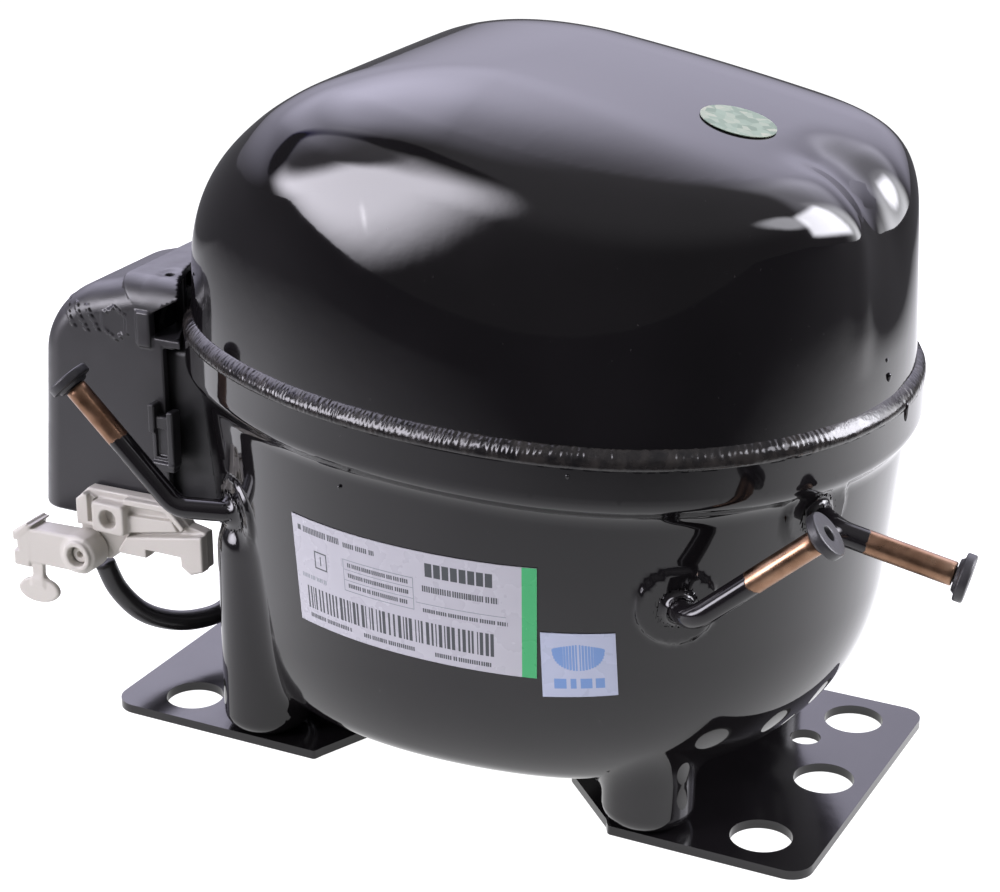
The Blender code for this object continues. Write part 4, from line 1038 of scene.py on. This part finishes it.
def build_plug(name, corner, end):
    """Plug: spigot in the bore and a flange with a sunk centre."""
    verts, faces = lathe(rounded_profile(PLUG, steps=4), 56, end, unit(end - corner))
    obj = mesh_object(name + "_stopper_rubber", verts, faces, [RUBBER])
    piece(obj, name + "_stopper", name + "_plug")


def build_collar(name, wall, corner):
    """Braze fillet between tube and seat."""
    root = unit(corner - wall)

    def collar(pos):
        radial, height = local(pos, wall, root)
        shell = shell_outer(pos)
        dist = np.maximum(smin(shell - 0.1, radial - 3.05, 3.4), height - 6.5)
        dist = np.maximum(dist, -(radial - 3.06))
        dist = np.maximum(dist, -(shell - 0.05))
        return np.maximum(dist, radial - 7.0)

    field_piece(name + "_braze_collar", collar, wall - 10.5, wall + 10.5, 0.42,
                ENAMEL, "shell", name + "_collar")


def build_stubs():
    for name, *places, bare, bend in STUBS:
        wall, corner, end = (np.array(place, float) for place in places)
        build_tube(name, wall, corner, end, bare, bend)
        build_plug(name, corner, end)
        build_collar(name, wall, corner)


# ------------------------------------------------------------------ relay housing
def housing_body(pos, inset=0.0, open_side=False):
    """Housing block; its right side towards the shell may be left open."""
    x, y, z = xyz(pos)
    left = (-138.0 + (z - 49.5) * 0.082 - x) * 0.9966 + inset
    roof = (z - (119.3 + 0.265 * (x + 109.0))) * 0.9666 + inset
    step = z - 121.6 + inset
    lip = smax(z - 121.4 + inset, -(x + 107.5), 1.0)
    top = np.minimum(smax(roof, step, 1.0), np.maximum(lip, step))
    dist = rmax(left, top, 16.0 - inset)
    dist = rmax(dist, -32.0 - y + inset, 8.0 - inset)
    dist = rmax(dist, y - 12.5 + inset, 6.0 - inset)
    dist = rmax(dist, 49.5 - z + inset, max(1.2 - inset, 0.3))
    if not open_side:
        right = np.minimum(x + 92.0, rmax(x + 82.0, 104.2 - z, 0.3))
        dist = rmax(dist, right, 0.5)
    return dist


def mark(pos):
    """Raised mark in the xz plane: a hexagon frame and three slanted bars."""
    x, z = pos[..., 0], pos[..., 2]
    centre_z = 108.8
    across, rise = x + 107.0, z - centre_z
    hexagon = np.maximum(np.abs(rise) * 0.866 + np.abs(across) * 0.5, np.abs(across))
    dist = np.abs(hexagon - 3.9) - 0.5
    for k in range(3):
        slanted = x + 122.5 - 4.0 * k + (z - centre_z) * 0.55
        bar = np.maximum(np.abs(slanted) - 0.7, np.abs(z - centre_z) - 3.8)
        dist = np.minimum(dist, bar)
    return dist


def housing(pos):
    x, y, z = xyz(pos)
    skin = housing_body(pos)
    dist = np.maximum(skin, -housing_body(pos, HOUSING_WALL, open_side=True))
    raised = np.maximum(np.maximum(skin - 0.35, mark(pos)), -(skin + 1.0))
    dist = smin(dist, np.maximum(raised, y + 24.0), 0.25)
    # notch in the upper right of the front, with a floor and a wall behind it
    notch = rmax(box_dist(pos, (-95.5, -40, 106.4), (-60, -18.0, 130.0), 0.5),
                 z - (113.4 + 0.56 * (x + 94.8)), 0.5)
    floor = box_dist(pos, (-97.0, -31.6, 103.6), (-88.8, -16.5, 106.3), 0.4)
    wall = box_dist(pos, (-97.0, -18.0, 104.0), (-82.2, -16.0, 123.0), 0.2)
    wall = np.maximum(wall, skin + 0.4)
    dist = np.minimum(rmax(dist, -notch, 0.5), np.minimum(floor, wall))
    post = box_dist(pos, (-99.9, -33.0, 103.5), (-95.4, -30.0, 113.4), 0.7)
    dist = smin(dist, rmax(post, skin - 0.9, 0.3), 0.6)
    # round dimple in the top with a hole through it
    radial, height = local(pos, DIMPLE, (0, 0, 1))
    dist = smax(dist, -np.hypot(np.maximum(radial - 1.0, 0), height - 4.2) + 4.8, 0.6)
    dist = np.maximum(dist, -np.maximum(radial - 1.25, np.abs(height) - 6))
    # opening low at the back right
    dist = rmax(dist, -box_dist(pos, (-112.5, -2.0, 40), (-60, 30, 57.5), 0.8), 0.4)
    # the upper part stays clear of the shell
    dist = np.maximum(dist, -np.maximum(egg(x, y) - 0.9, 96.0 - z))
    # stiffening ribs on the open edge
    for rib in (60.0, 82.0):
        low, high = (-104.0, -30.5, rib - 0.8), (-93.0, -28.0, rib + 0.8)
        dist = np.minimum(dist, box_dist(pos, low, high, 0.3))
    return dist


def latch(pos):
    dist = box_dist(pos, (-95.2, -34.6, 70.0), (-88.4, -31.6, 85.0), 0.6)
    left_prong = box_dist(pos, (-95.8, -35.4, 80.0), (-93.6, -31.6, 88.4), 0.6)
    right_prong = box_dist(pos, (-89.8, -35.6, 71.0), (-87.6, -31.6, 87.0), 0.6)
    foot = box_dist(pos, (-95.4, -35.6, 69.4), (-87.8, -32.2, 72.0), 0.6)
    window = box_dist(pos, (-93.8, -36.5, 73.2), (-90.6, -33.6, 81.5), 0.4)
    dist = np.minimum(np.minimum(dist, left_prong), right_prong)
    return rmax(smin(dist, foot, 0.5), -window, 0.3)


def fence(pos):
    """Sheet fence round the terminal, open to the left; the housing snaps over it."""
    block = box_dist(pos, (-97.5, -28.6, 56.5), (-60.0, 9.4, 103.2), 2.5)
    inside = box_dist(pos, (-140.0, -27.2, 58.0), (-50.0, 8.0, 101.8), 2.0)
    dist = np.maximum(rmax(block, -inside, 0.2), -(shell_outer(pos) + 0.4))
    hook = box_dist(pos, (-95.4, -29.6, 72.6), (-91.0, -28.0, 82.4), 0.3)
    return np.minimum(dist, hook)


# --------------------------------------------------------------------- cord clamp
def clamp_frame(pos):
    base = slab(pos, [
        (-119.2, 40.4), (-118.8, 57.5), (-116.2, 60.0), (-88.8, 60.4), (-83.6, 54.6),
        (-78.4, 53.6), (-78.4, 43.9), (-82.0, 42.4), (-85.0, 44.6), (-105.8, 44.4),
        (-110.4, 40.4),
    ], -36.4, -32.8, rounding=0.5, grow=0.5)
    rim = slab(pos, [
        (-103.0, 58.6), (-103.0, 60.0), (-89.0, 60.4), (-84.0, 55.0), (-84.6, 54.0),
        (-89.6, 58.8),
    ], -38.6, -36.0, rounding=0.4, grow=0.2)
    boss = slab(pos, [
        (-112.0, 50.6), (-103.9, 50.6), (-103.9, 56.9), (-112.0, 56.9),
    ], -40.0, -35.8, rounding=0.7, grow=1.3)
    arm = slab(pos, [
        (-105.4, 44.2), (-85.2, 44.4), (-81.9, 42.1), (-78.2, 43.6), (-78.2, 53.2),
        (-102.6, 48.6),
    ], -39.0, -35.8, rounding=0.6, grow=0.4)
    ear = slab(pos, [
        (-118.8, 50.4), (-113.0, 50.4), (-113.6, 58.2), (-116.4, 59.4), (-118.8, 57.4),
    ], -39.0, -35.8, rounding=0.5, grow=0.3)
    web = slab(pos, [
        (-102.5, 50.2), (-86.5, 53.4), (-88.0, 56.0), (-102.5, 55.0),
    ], -38.0, -35.8, rounding=0.4, grow=0.2)
    dist = smin(smin(base, rim, 0.5), boss, 0.7)
    dist = smin(smin(dist, arm, 0.7), smin(ear, web, 0.4), 0.6)
    radial, height = local(pos, CLAMP_HOLE, FORWARD)
    dist = rmax(dist, -np.maximum(radial - 2.7, -3.2 - height), 0.4)
    radial, _ = local(pos, CLAMP_PIVOT, FORWARD)
    dist = rmax(dist, -(radial - PIVOT_RADIUS), 0.3)
    groove = box_dist(pos, (-115.2, -42, 51.4), (-113.6, -37.4, 62.0), 0.3)
    dist = rmax(dist, -groove, 0.2)
    lower_notch = box_dist(pos, (-96.3, -45, 38.0), (-84.9, -30, 46.5), 0.4)
    return rmax(dist, -lower_notch, 0.3)


def clamp_jaw(pos):
    """Swinging jaw: bar from the pivot to a wing at its left end, with an oval tab below."""
    x, y, z = xyz(pos)
    radial, height = local(pos, CLAMP_PIVOT, FORWARD)
    bar = slab(pos, [
        (-132.6, 37.9), (-117.0, 38.0), (-114.0, 38.4), (-113.6, 47.4), (-117.5, 47.8),
        (-132.4, 47.2),
    ], -44.0, -36.8, rounding=0.9, grow=0.5)
    pivot_end = rmax(radial - 5.5, np.abs(height + 3.6) - 3.6, 0.9)
    boss = rmax(radial - 4.5, np.abs(height) - 1.2, 0.6)
    wing = slab(pos, [
        (-137.6, 36.2), (-133.0, 36.2), (-133.0, 48.8), (-137.6, 45.6),
    ], -44.0, -35.0, rounding=0.7, grow=0.5)
    notch = box_dist(pos, (-140, -46, 40.3), (-136.2, -42.2, 43.4), 0.3)
    lip = slab(pos, [
        (-137.4, 45.0), (-133.0, 48.6), (-131.4, 48.6), (-135.8, 44.6),
    ], -44.0, -35.0, rounding=0.4, grow=0.2)
    tab_rise = z - 29.0 - 0.06 * (x + 130.6)
    oval = (np.sqrt(((x + 130.6) / 6.9) ** 2 + (tab_rise / 3.8) ** 2) - 1) * 3.8
    tab = rmax(oval, np.abs(y + 42.7) - 0.9, 0.6)
    neck = slab(pos, [
        (-132.2, 30.5), (-128.8, 30.5), (-128.4, 38.5), (-132.2, 38.5),
    ], -43.5, -41.9, rounding=0.4, grow=0.1)
    pocket = box_dist(pos, (-131.0, -38.8, 39.6), (-119.5, -30, 46.0), 0.5)
    dist = smin(smin(bar, pivot_end, 1.2), boss, 0.6)
    dist = smin(dist, wing, 0.8)
    dist = rmax(dist, -notch, 0.4)
    dist = smin(dist, lip, 0.5)
    dist = smin(dist, smin(tab, neck, 1.6), 0.7)
    dist = rmax(dist, -(radial - PIVOT_RADIUS), 0.35)
    return rmax(dist, -pocket, 0.3)


CLAMP_PIN = (  # radius, height from the pivot, corner rounding
    (0.02, -10.5, 0), (2.5, -10.5, 0.3), (2.5, -1.2, 0.4), (2.1, -0.8, 0.3), (1.0, -0.8, 0.2),
    (0.9, -2.2, 0.1), (0.02, -2.2, 0),
)


def build_clamp_pin():
    verts, faces = lathe(rounded_profile(CLAMP_PIN, steps=3), 36, CLAMP_PIVOT, FORWARD)
    obj = mesh_object("cord_clamp_pin", verts, faces, [WHITE])
    piece(obj, "shell", "cord_clamp_screw")


def build_cable():
    steps = 28
    verts = tube_rings(spline(CABLE, per_span=12), CABLE_RADIUS, steps)
    faces = capped_faces(len(verts) // steps, steps)
    obj = mesh_object("supply_cable_jacket", verts, faces, [JACKET])
    piece(obj, "shell", "supply_cable")


# ------------------------------------------------------------------------- labels
FILM_INDEX, GREEN, INK, GREY = range(4)  # material slots of the rating label
BLUE = 1  # print slot of the small label
RATING_SIZE, SMALL_SIZE = (74.2, 30.4), (18.2, 17.8)  # width, height
# corners: top left, top right, bottom right, bottom left
RATING_CORNERS = ((-34.2, -61.9, 78.8), (39.0, -71.0, 81.9), (37.9, -68.2, 51.4),
                  (-33.7, -59.1, 48.3))
SMALL_CORNERS = ((39.1, -69.1, 64.5), (56.8, -64.6, 66.1), (57.1, -62.8, 49.0),
                 (39.2, -67.5, 46.5))


def on_wall(pos, lift, field):
    """Points moved square to the wall until they stand `lift` above it."""
    pos = pos.copy()
    for _ in range(6):
        slope = gradient(field, pos)
        square = (slope * slope).sum(-1, keepdims=True)
        pos -= (field(pos) - lift)[..., None] * slope / square
    return pos


def cuts(length, count, edges):
    """Even cuts along a side plus the edges of the print, leaving out near doubles."""
    places = {*np.linspace(0, length, count), *edges}
    places = np.array(sorted(place for place in places if 0 <= place <= length))
    return places[np.concatenate([[True], np.diff(places) > 0.02])]


def printed(name, corners, size, marks, replaced, materials):
    """Film on the wall. Marks are (left, top, right, bottom, material index), measured
    from the top left corner."""
    top_left, top_right, low_right, low_left = (np.array(place, float) for place in corners)
    wide, high = size
    columns = cuts(wide, 57, [edge for item in marks for edge in (item[0], item[2])])
    lines = cuts(high, 13, [edge for item in marks for edge in (item[1], item[3])])
    across, down = np.meshgrid(columns / wide, lines / high)
    points = (
        top_left * ((1 - across) * (1 - down))[..., None]
        + top_right * (across * (1 - down))[..., None]
        + low_right * (across * down)[..., None]
        + low_left * ((1 - across) * down)[..., None]
    )
    rows, cols = across.shape
    top = on_wall(points.reshape(-1, 3), 0.3, bowl_field)
    normals = normals_of(bowl_field, top)
    under = top - normals * 0.25
    faces = grid_faces(rows, cols, wrap=False)[:, ::-1]
    cell_x, cell_y = (part.ravel() for part in np.meshgrid(
        (columns[:-1] + columns[1:]) / 2, (lines[:-1] + lines[1:]) / 2))
    face_slots = np.zeros(len(faces), int)
    for left, upper, right, lower, slot in marks:
        covered = (cell_x > left) & (cell_x < right) & (cell_y > upper) & (cell_y < lower)
        face_slots[covered] = slot
    count = rows * cols
    border = list(range(cols)) + [cols * row + cols - 1 for row in range(1, rows)]
    border += [count - 1 - k for k in range(1, cols)]
    border += [cols * row for row in range(rows - 2, 0, -1)]
    sides = []
    for i, here in enumerate(border):
        after = border[(i + 1) % len(border)]
        sides.append((here, after, count + after, count + here))
    indices = list(face_slots) + [0] * (len(sides) + len(faces))
    all_faces = faces.tolist() + sides + (faces[:, ::-1] + count).tolist()
    obj = mesh_object(name, np.concatenate([top, under]), all_faces, materials,
                      np.concatenate([normals, -normals]), indices)
    piece(obj, "shell", replaced)


def dashes(rng, left, right, top, bottom, slot, word=(1.0, 3.2), gap=0.45):
    """A line of made-up print: runs of short strokes of uneven length."""
    out, start = [], left
    while start < right:
        length = rng.uniform(*word)
        stroke = start
        while stroke < min(start + length, right):
            out.append((stroke, top, min(stroke + 0.42, right), bottom, slot))
            stroke += 0.62
        start += length + gap
    return out


def rating_marks():
    rng = np.random.default_rng(7)
    wide, high = RATING_SIZE
    marks = [(70.2, 0, wide, high, GREEN)]
    marks += dashes(rng, 4.4, 17.6, 2.3, 4.1, INK, (2.6, 4.4), 0.6)
    marks += dashes(rng, 19.0, 29.0, 2.9, 4.3, INK, (3.0, 5.0), 0.7)
    marks += [(2.2, 2.4, 3.5, 3.9, INK)]
    # dark block cut by fine upright gaps
    marks += [(44.0, 2.8, 62.5, 6.6, INK)]
    marks += [(x, 2.8, x + 0.45, 6.6, FILM_INDEX) for x in np.arange(46.0, 62.0, 2.35)]
    # ruled table of three lines
    marks += [
        (18.5, 7.6, 40.5, 7.85, GREY), (18.5, 16.4, 40.5, 16.65, GREY),
        (18.5, 7.6, 18.75, 16.65, GREY), (40.25, 7.6, 40.5, 16.65, GREY),
        (18.5, 10.4, 40.5, 10.6, GREY), (18.5, 13.4, 40.5, 13.6, GREY),
    ]
    for top in (8.5, 11.4, 14.3):
        marks += dashes(rng, 20.0, 39.0, top, top + 1.2, INK)
    marks += dashes(rng, 43.0, 64.0, 9.2, 10.9, INK)
    marks += [(41.0, 14.2, 66.0, 14.4, GREY)]
    marks += dashes(rng, 43.0, 66.5, 15.6, 16.7, INK)
    # small square frame with an upright stroke
    marks += [
        (8.0, 8.4, 12.6, 8.8, INK), (8.0, 13.0, 12.6, 13.4, INK), (8.0, 8.4, 8.4, 13.4, INK),
        (12.2, 8.4, 12.6, 13.4, INK), (10.1, 9.6, 10.5, 12.2, INK),
    ]
    marks += dashes(rng, 2.5, 12.0, 16.0, 17.2, GREY)
    # bar code
    x = 4.0
    while x < 62.0:
        width = rng.choice([0.35, 0.6, 0.95])
        marks.append((x, 19.4, x + width, 25.8, INK))
        x += width + rng.choice([0.4, 0.6, 0.9])
    marks += dashes(rng, 4.5, 20.0, 27.2, 28.4, INK)
    marks += dashes(rng, 24.0, 40.0, 27.4, 28.6, INK)
    marks += dashes(rng, 46.0, 62.0, 27.6, 28.8, INK)
    return marks


def small_marks():
    """A fan of upright bars split down the middle, over four blocks."""
    marks, bars = [], 24
    for k in range(bars):
        t = k / (bars - 1)
        angle = math.pi * (0.04 + 0.92 * t)
        x = 9.1 + 6.2 * math.cos(angle)
        top, bottom = 3.0 + 1.4 * abs(2 * t - 1), 3.0 + 7.4 * math.sin(angle) ** 0.6
        marks.append((x - 0.28, top, x + 0.28, bottom, BLUE))
    marks.append((8.85, 2.4, 9.35, 10.6, FILM_INDEX))
    for left, right in ((3.0, 6.0), (7.0, 8.4), (9.4, 12.2), (13.0, 15.2)):
        marks.append((left, 12.6, right, 15.4, BLUE))
    return marks


def build_seal():
    """Round seal on the cover, following its crown."""
    centre, radius, rows, cols = np.array([61.0, -7.0, 178.1]), 9.5, 10, 72
    _, side, lift = frame_of((0.229, -0.006, 0.973))
    angles = ring_angles(cols)
    spokes = np.cos(angles)[:, None] * side + np.sin(angles)[:, None] * lift
    points = [centre[None]]
    points += [centre + reach * spokes for reach in np.linspace(0, radius, rows)[1:]]
    top = on_wall(np.concatenate(points), 0.42, cover_outer)
    normals = normals_of(cover_outer, top)
    count = len(top)
    faces = [(0, 1 + k, 1 + (k + 1) % cols) for k in range(cols)]
    faces += grid_faces(rows - 1, cols, base=1)[:, ::-1].tolist()
    faces += [[i + count for i in face][::-1] for face in faces]
    edge = 1 + (rows - 2) * cols
    faces += edge_faces(edge, count + edge, cols)
    obj = mesh_object("inspection_seal_film", np.concatenate([top, top - normals * 0.3]),
                      faces, [FOIL], np.concatenate([normals, -normals]))
    piece(obj, "shell", "inspection_seal")


# ------------------------------------------------------------------ build in order
field_piece("lower_shell_skin", shell_solid, (-101, -84, 0), (111, 84, 114), 1.35,
            ENAMEL, "shell", "lower_shell")
build_top_cover()
build_weld_bead()
build_drips()
foot_plate("left_foot_plate_pressing", LEFT_OUTLINE, LEFT_HOLES, "left_foot_plate")
foot_plate("right_foot_plate_pressing", RIGHT_OUTLINE, RIGHT_HOLES, "right_foot_plate")
build_stubs()
field_piece("relay_housing_moulding", housing, (-140, -34, 47.5), (-80, 14.5, 124), 0.72,
            BOX_BLACK, "relay_housing", "relay_cover")
field_piece("housing_latch", latch, (-97.2, -37, 68), (-86, -30.4, 90), 0.35,
            BOX_BLACK, "relay_housing", "cover_clip")
field_piece("terminal_fence", fence, (-99, -31, 54), (-74, 12, 106), 0.6,
            DARK_PLASTIC, "shell")
field_piece("cord_clamp_moulding", clamp_frame, (-121, -41.5, 38.5), (-76.5, -31.5, 62.5), 0.45,
            WHITE, "shell", "cord_clamp_frame")
field_piece("cord_clamp_jaw_moulding", clamp_jaw, (-139.5, -46.6, 23.8), (-108.5, -33.8, 50.6),
            0.42, WHITE, "cord_clamp_arm", "cord_clamp_jaw")
build_clamp_pin()
build_cable()
printed("rating_label_film", RATING_CORNERS, RATING_SIZE, rating_marks(), "rating_label",
        [LABEL_WHITE, LABEL_GREEN, LABEL_INK, LABEL_GREY])
printed("small_label_film", SMALL_CORNERS, SMALL_SIZE, small_marks(), "refrigerant_label",
        [LABEL_PALE, LABEL_BLUE])
build_seal()

# finish of the CAD pieces that are kept
FINISH = (
    (DARK_PLASTIC, ("starter_relay", "overload_protector")),
    (SPRING, (
        "overload_spring_clip", "suction_reed", "discharge_reed",
        "front_left_suspension_spring", "rear_left_suspension_spring",
        "front_right_suspension_spring", "rear_right_suspension_spring",
    )),
    (STEEL, (
        "terminal_body", "terminal_pin_a", "terminal_pin_b", "terminal_pin_c",
        "left_spring_bracket", "right_spring_bracket", "valve_plate",
        "head_bolt_a", "head_bolt_b", "head_bolt_c", "head_bolt_d",
        "oil_pickup_tube", "crankpin_thrust_washer", "slider_block", "piston",
    )),
    (IRON, ("crankcase", "crankshaft", "counterweight", "piston_yoke")),
    (LAMINATION, ("stator_core",)),
    (WINDING, ("upper_winding", "lower_winding")),
    (GASKET, ("head_gasket",)),
    (ALLOY, ("cylinder_head", "rotor")),
    (PALE_PLASTIC, ("suction_muffler",)),
    (COPPER, ("discharge_loop_tube",)),
)
for material, names in FINISH:
    for name in names:
        slots = frame["nodes"][name].data.materials
        if len(slots) == 0:
            slots.append(material)
        for k in range(len(slots)):
            slots[k] = material


# ------------------------------------------------------------------ stage and light
def heading(degrees):
    """Level unit vector at an azimuth measured from +x towards +y."""
    return math.cos(math.radians(degrees)), math.sin(math.radians(degrees)), 0


def light_table():
    """Table that looks evenly white to the camera but lights the piece unevenly."""
    material, tree, shader, place = new_material("light_table")
    shader["Roughness"].default_value = 0.9
    shader["Specular IOR Level"].default_value = 0.0
    shader["Emission Color"].default_value = (1, 1, 1, 1)
    full, camera_level = 0.95, 1.05
    # distances in metres: the glow fades to the front and outwards, and grows to the right
    glow = remap(tree, dot(tree, place, heading(-63)), source=(-0.05, 0.40), target=(full, 0.0))
    side = remap(tree, dot(tree, place, heading(-13)), source=(0.0, 0.4), target=(1.0, 2.6))
    reach = vector_maths(tree, "LENGTH", {0: place}, "Value")
    disc = remap(tree, reach, source=(0.36, 0.60), target=(1.0, 0.04))
    glow = maths(tree, "MULTIPLY", glow, disc)
    level = maths(tree, "MULTIPLY", glow, side)
    to_camera = tree.nodes.new("ShaderNodeLightPath").outputs["Is Camera Ray"]
    feed(tree, shader["Emission Strength"], mix(tree, "FLOAT", to_camera, level, camera_level))
    # the table's base colour is painted darker where its glow fades: painted shade that follows
    # the falloff of the table's light
    shade = remap(tree, glow, source=(0.0, full), target=(0.0, 1.0))
    dark, grey = (0.03, 0.03, 0.03, 1), (0.30, 0.30, 0.305, 1)
    feed(tree, shader["Base Color"], mix(tree, "RGBA", shade, dark, grey))
    return material


def build_floor():
    mesh = bpy.data.meshes.new("studio_floor")
    half = 6  # metres
    corners = [(-half, -half, 0), (half, -half, 0), (half, half, 0), (-half, half, 0)]
    mesh.from_pydata(corners, [], [(0, 1, 2, 3)])
    floor = link(bpy.data.objects.new("studio_floor", mesh))
    mesh.materials.append(light_table())
    floor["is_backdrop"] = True


# soft boxes and reflectors in the sky, one of them subtracting light: azimuth, elevation,
# half width, half height and roll in degrees, brightness, softness of the edge, squareness,
# colour
PANELS = (
    (-144, 29, 24.8, 30.3, -11, 13.5, 0.25, 2.0, (0.93, 0.90, 1.0)),
    (-153, 35, 16.6, 27.1, -27, -13.2, 0.30, 2.0, (0.93, 0.90, 1.0)),
    (32, 23, 12.2, 15.2, -10, 18.0, 0.27, 7.7, (0.93, 0.92, 1.0)),
    (6, 37, 16.5, 8.9, -37, 6.6, 0.40, 1.8, (0.93, 0.92, 1.0)),
    (50, -11, 8.9, 40.8, 2, 6.6, 0.87, 1.8, (0.95, 0.95, 1.0)),
    (156, 44, 39.1, 20.5, 2, 1.6, 0.45, 1.8, (0.82, 0.79, 1.0)),
    (128, 32, 52.7, 23.3, 3, 1.9, 1.00, 8.0, (0.82, 0.79, 1.0)),
    (64, 40, 20.7, 17.0, 25, 1.65, 0.35, 5.1, (0.88, 0.86, 1.0)),
    (147, 55, 13.6, 22.4, -55, 2.1, 0.50, 3.0, (0.82, 0.79, 1.0)),
)


def tinted(tree, tint, level):
    return vector_maths(tree, "SCALE", {0: tint, "Scale": level})


def panel_light(tree, ray, azimuth, elevation, half_wide, half_high, roll, power, soft, square,
                tint):
    """Light of one soft-edged panel seen along a ray."""
    azimuth, elevation, roll = (math.radians(angle) for angle in (azimuth, elevation, roll))
    level = math.cos(elevation)
    centre = np.array([
        math.cos(azimuth) * level, math.sin(azimuth) * level, math.sin(elevation),
    ])
    flat_right = np.array([-math.sin(azimuth), math.cos(azimuth), 0.0])
    flat_up = np.cross(centre, flat_right)
    right = flat_right * math.cos(roll) + flat_up * math.sin(roll)
    up = flat_up * math.cos(roll) - flat_right * math.sin(roll)
    front = maths(tree, "MAXIMUM", dot(tree, ray, centre), 0.05)
    powers = []
    for direction, half in ((right, half_wide), (up, half_high)):
        offset = maths(tree, "DIVIDE", dot(tree, ray, direction), front)
        offset = maths(tree, "ABSOLUTE", offset)
        share = maths(tree, "DIVIDE", offset, math.tan(math.radians(half)))
        powers.append(maths(tree, "POWER", share, square))
    edge = maths(tree, "POWER", maths(tree, "ADD", *powers), 1 / square)
    brightness = remap(tree, edge, source=(1 - soft, 1 + soft), target=(power, 0.0),
                       interpolation_type="SMOOTHSTEP")
    return tinted(tree, tint, brightness)


def build_world():
    studio = bpy.data.worlds.new("studio")
    scene.world = studio
    studio.use_nodes = True
    tree = studio.node_tree
    ray = tree.nodes.new("ShaderNodeTexCoord").outputs["Generated"]
    sky = remap(tree, dot(tree, ray, (0, 0, 1)), source=(0.25, 0.9), target=(0.12, 0.42),
                interpolation_type="SMOOTHSTEP")
    total = tinted(tree, (0.97, 0.95, 1.0), sky)
    for panel in PANELS:
        total = vector_maths(tree, "ADD", {0: total, 1: panel_light(tree, ray, *panel)})
    dimmest = (0.06, 0.06, 0.065)
    background = tree.nodes["Background"].inputs
    feed(tree, background["Color"], vector_maths(tree, "MAXIMUM", {0: total, 1: dimmest}))
    background["Strength"].default_value = 1.0


def build_camera():
    data = bpy.data.cameras.new("camera")
    data.lens = 90.1
    data.sensor_width = 36.0
    data.sensor_fit = "HORIZONTAL"
    data.clip_start = 0.05
    data.clip_end = 50
    camera = link(bpy.data.objects.new("camera", data))
    right, up, back = (0.8926, 0.4509, 0.0), (-0.1675, 0.3315, 0.9285), (0.4187, -0.8287, 0.3714)
    turn = Matrix((right, up, back)).transposed().to_4x4()
    camera.matrix_world = Matrix.Translation(tuple(world((274.55, -556.61, 329.08)))) @ turn
    scene.camera = camera


build_floor()
build_world()
build_camera()
scene.view_settings.view_transform = "Standard"

({
    "cad": [[float(c) for c in q] for q in CAD_BOX],
    "visual": [[float(c) for c in q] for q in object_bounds()],
})
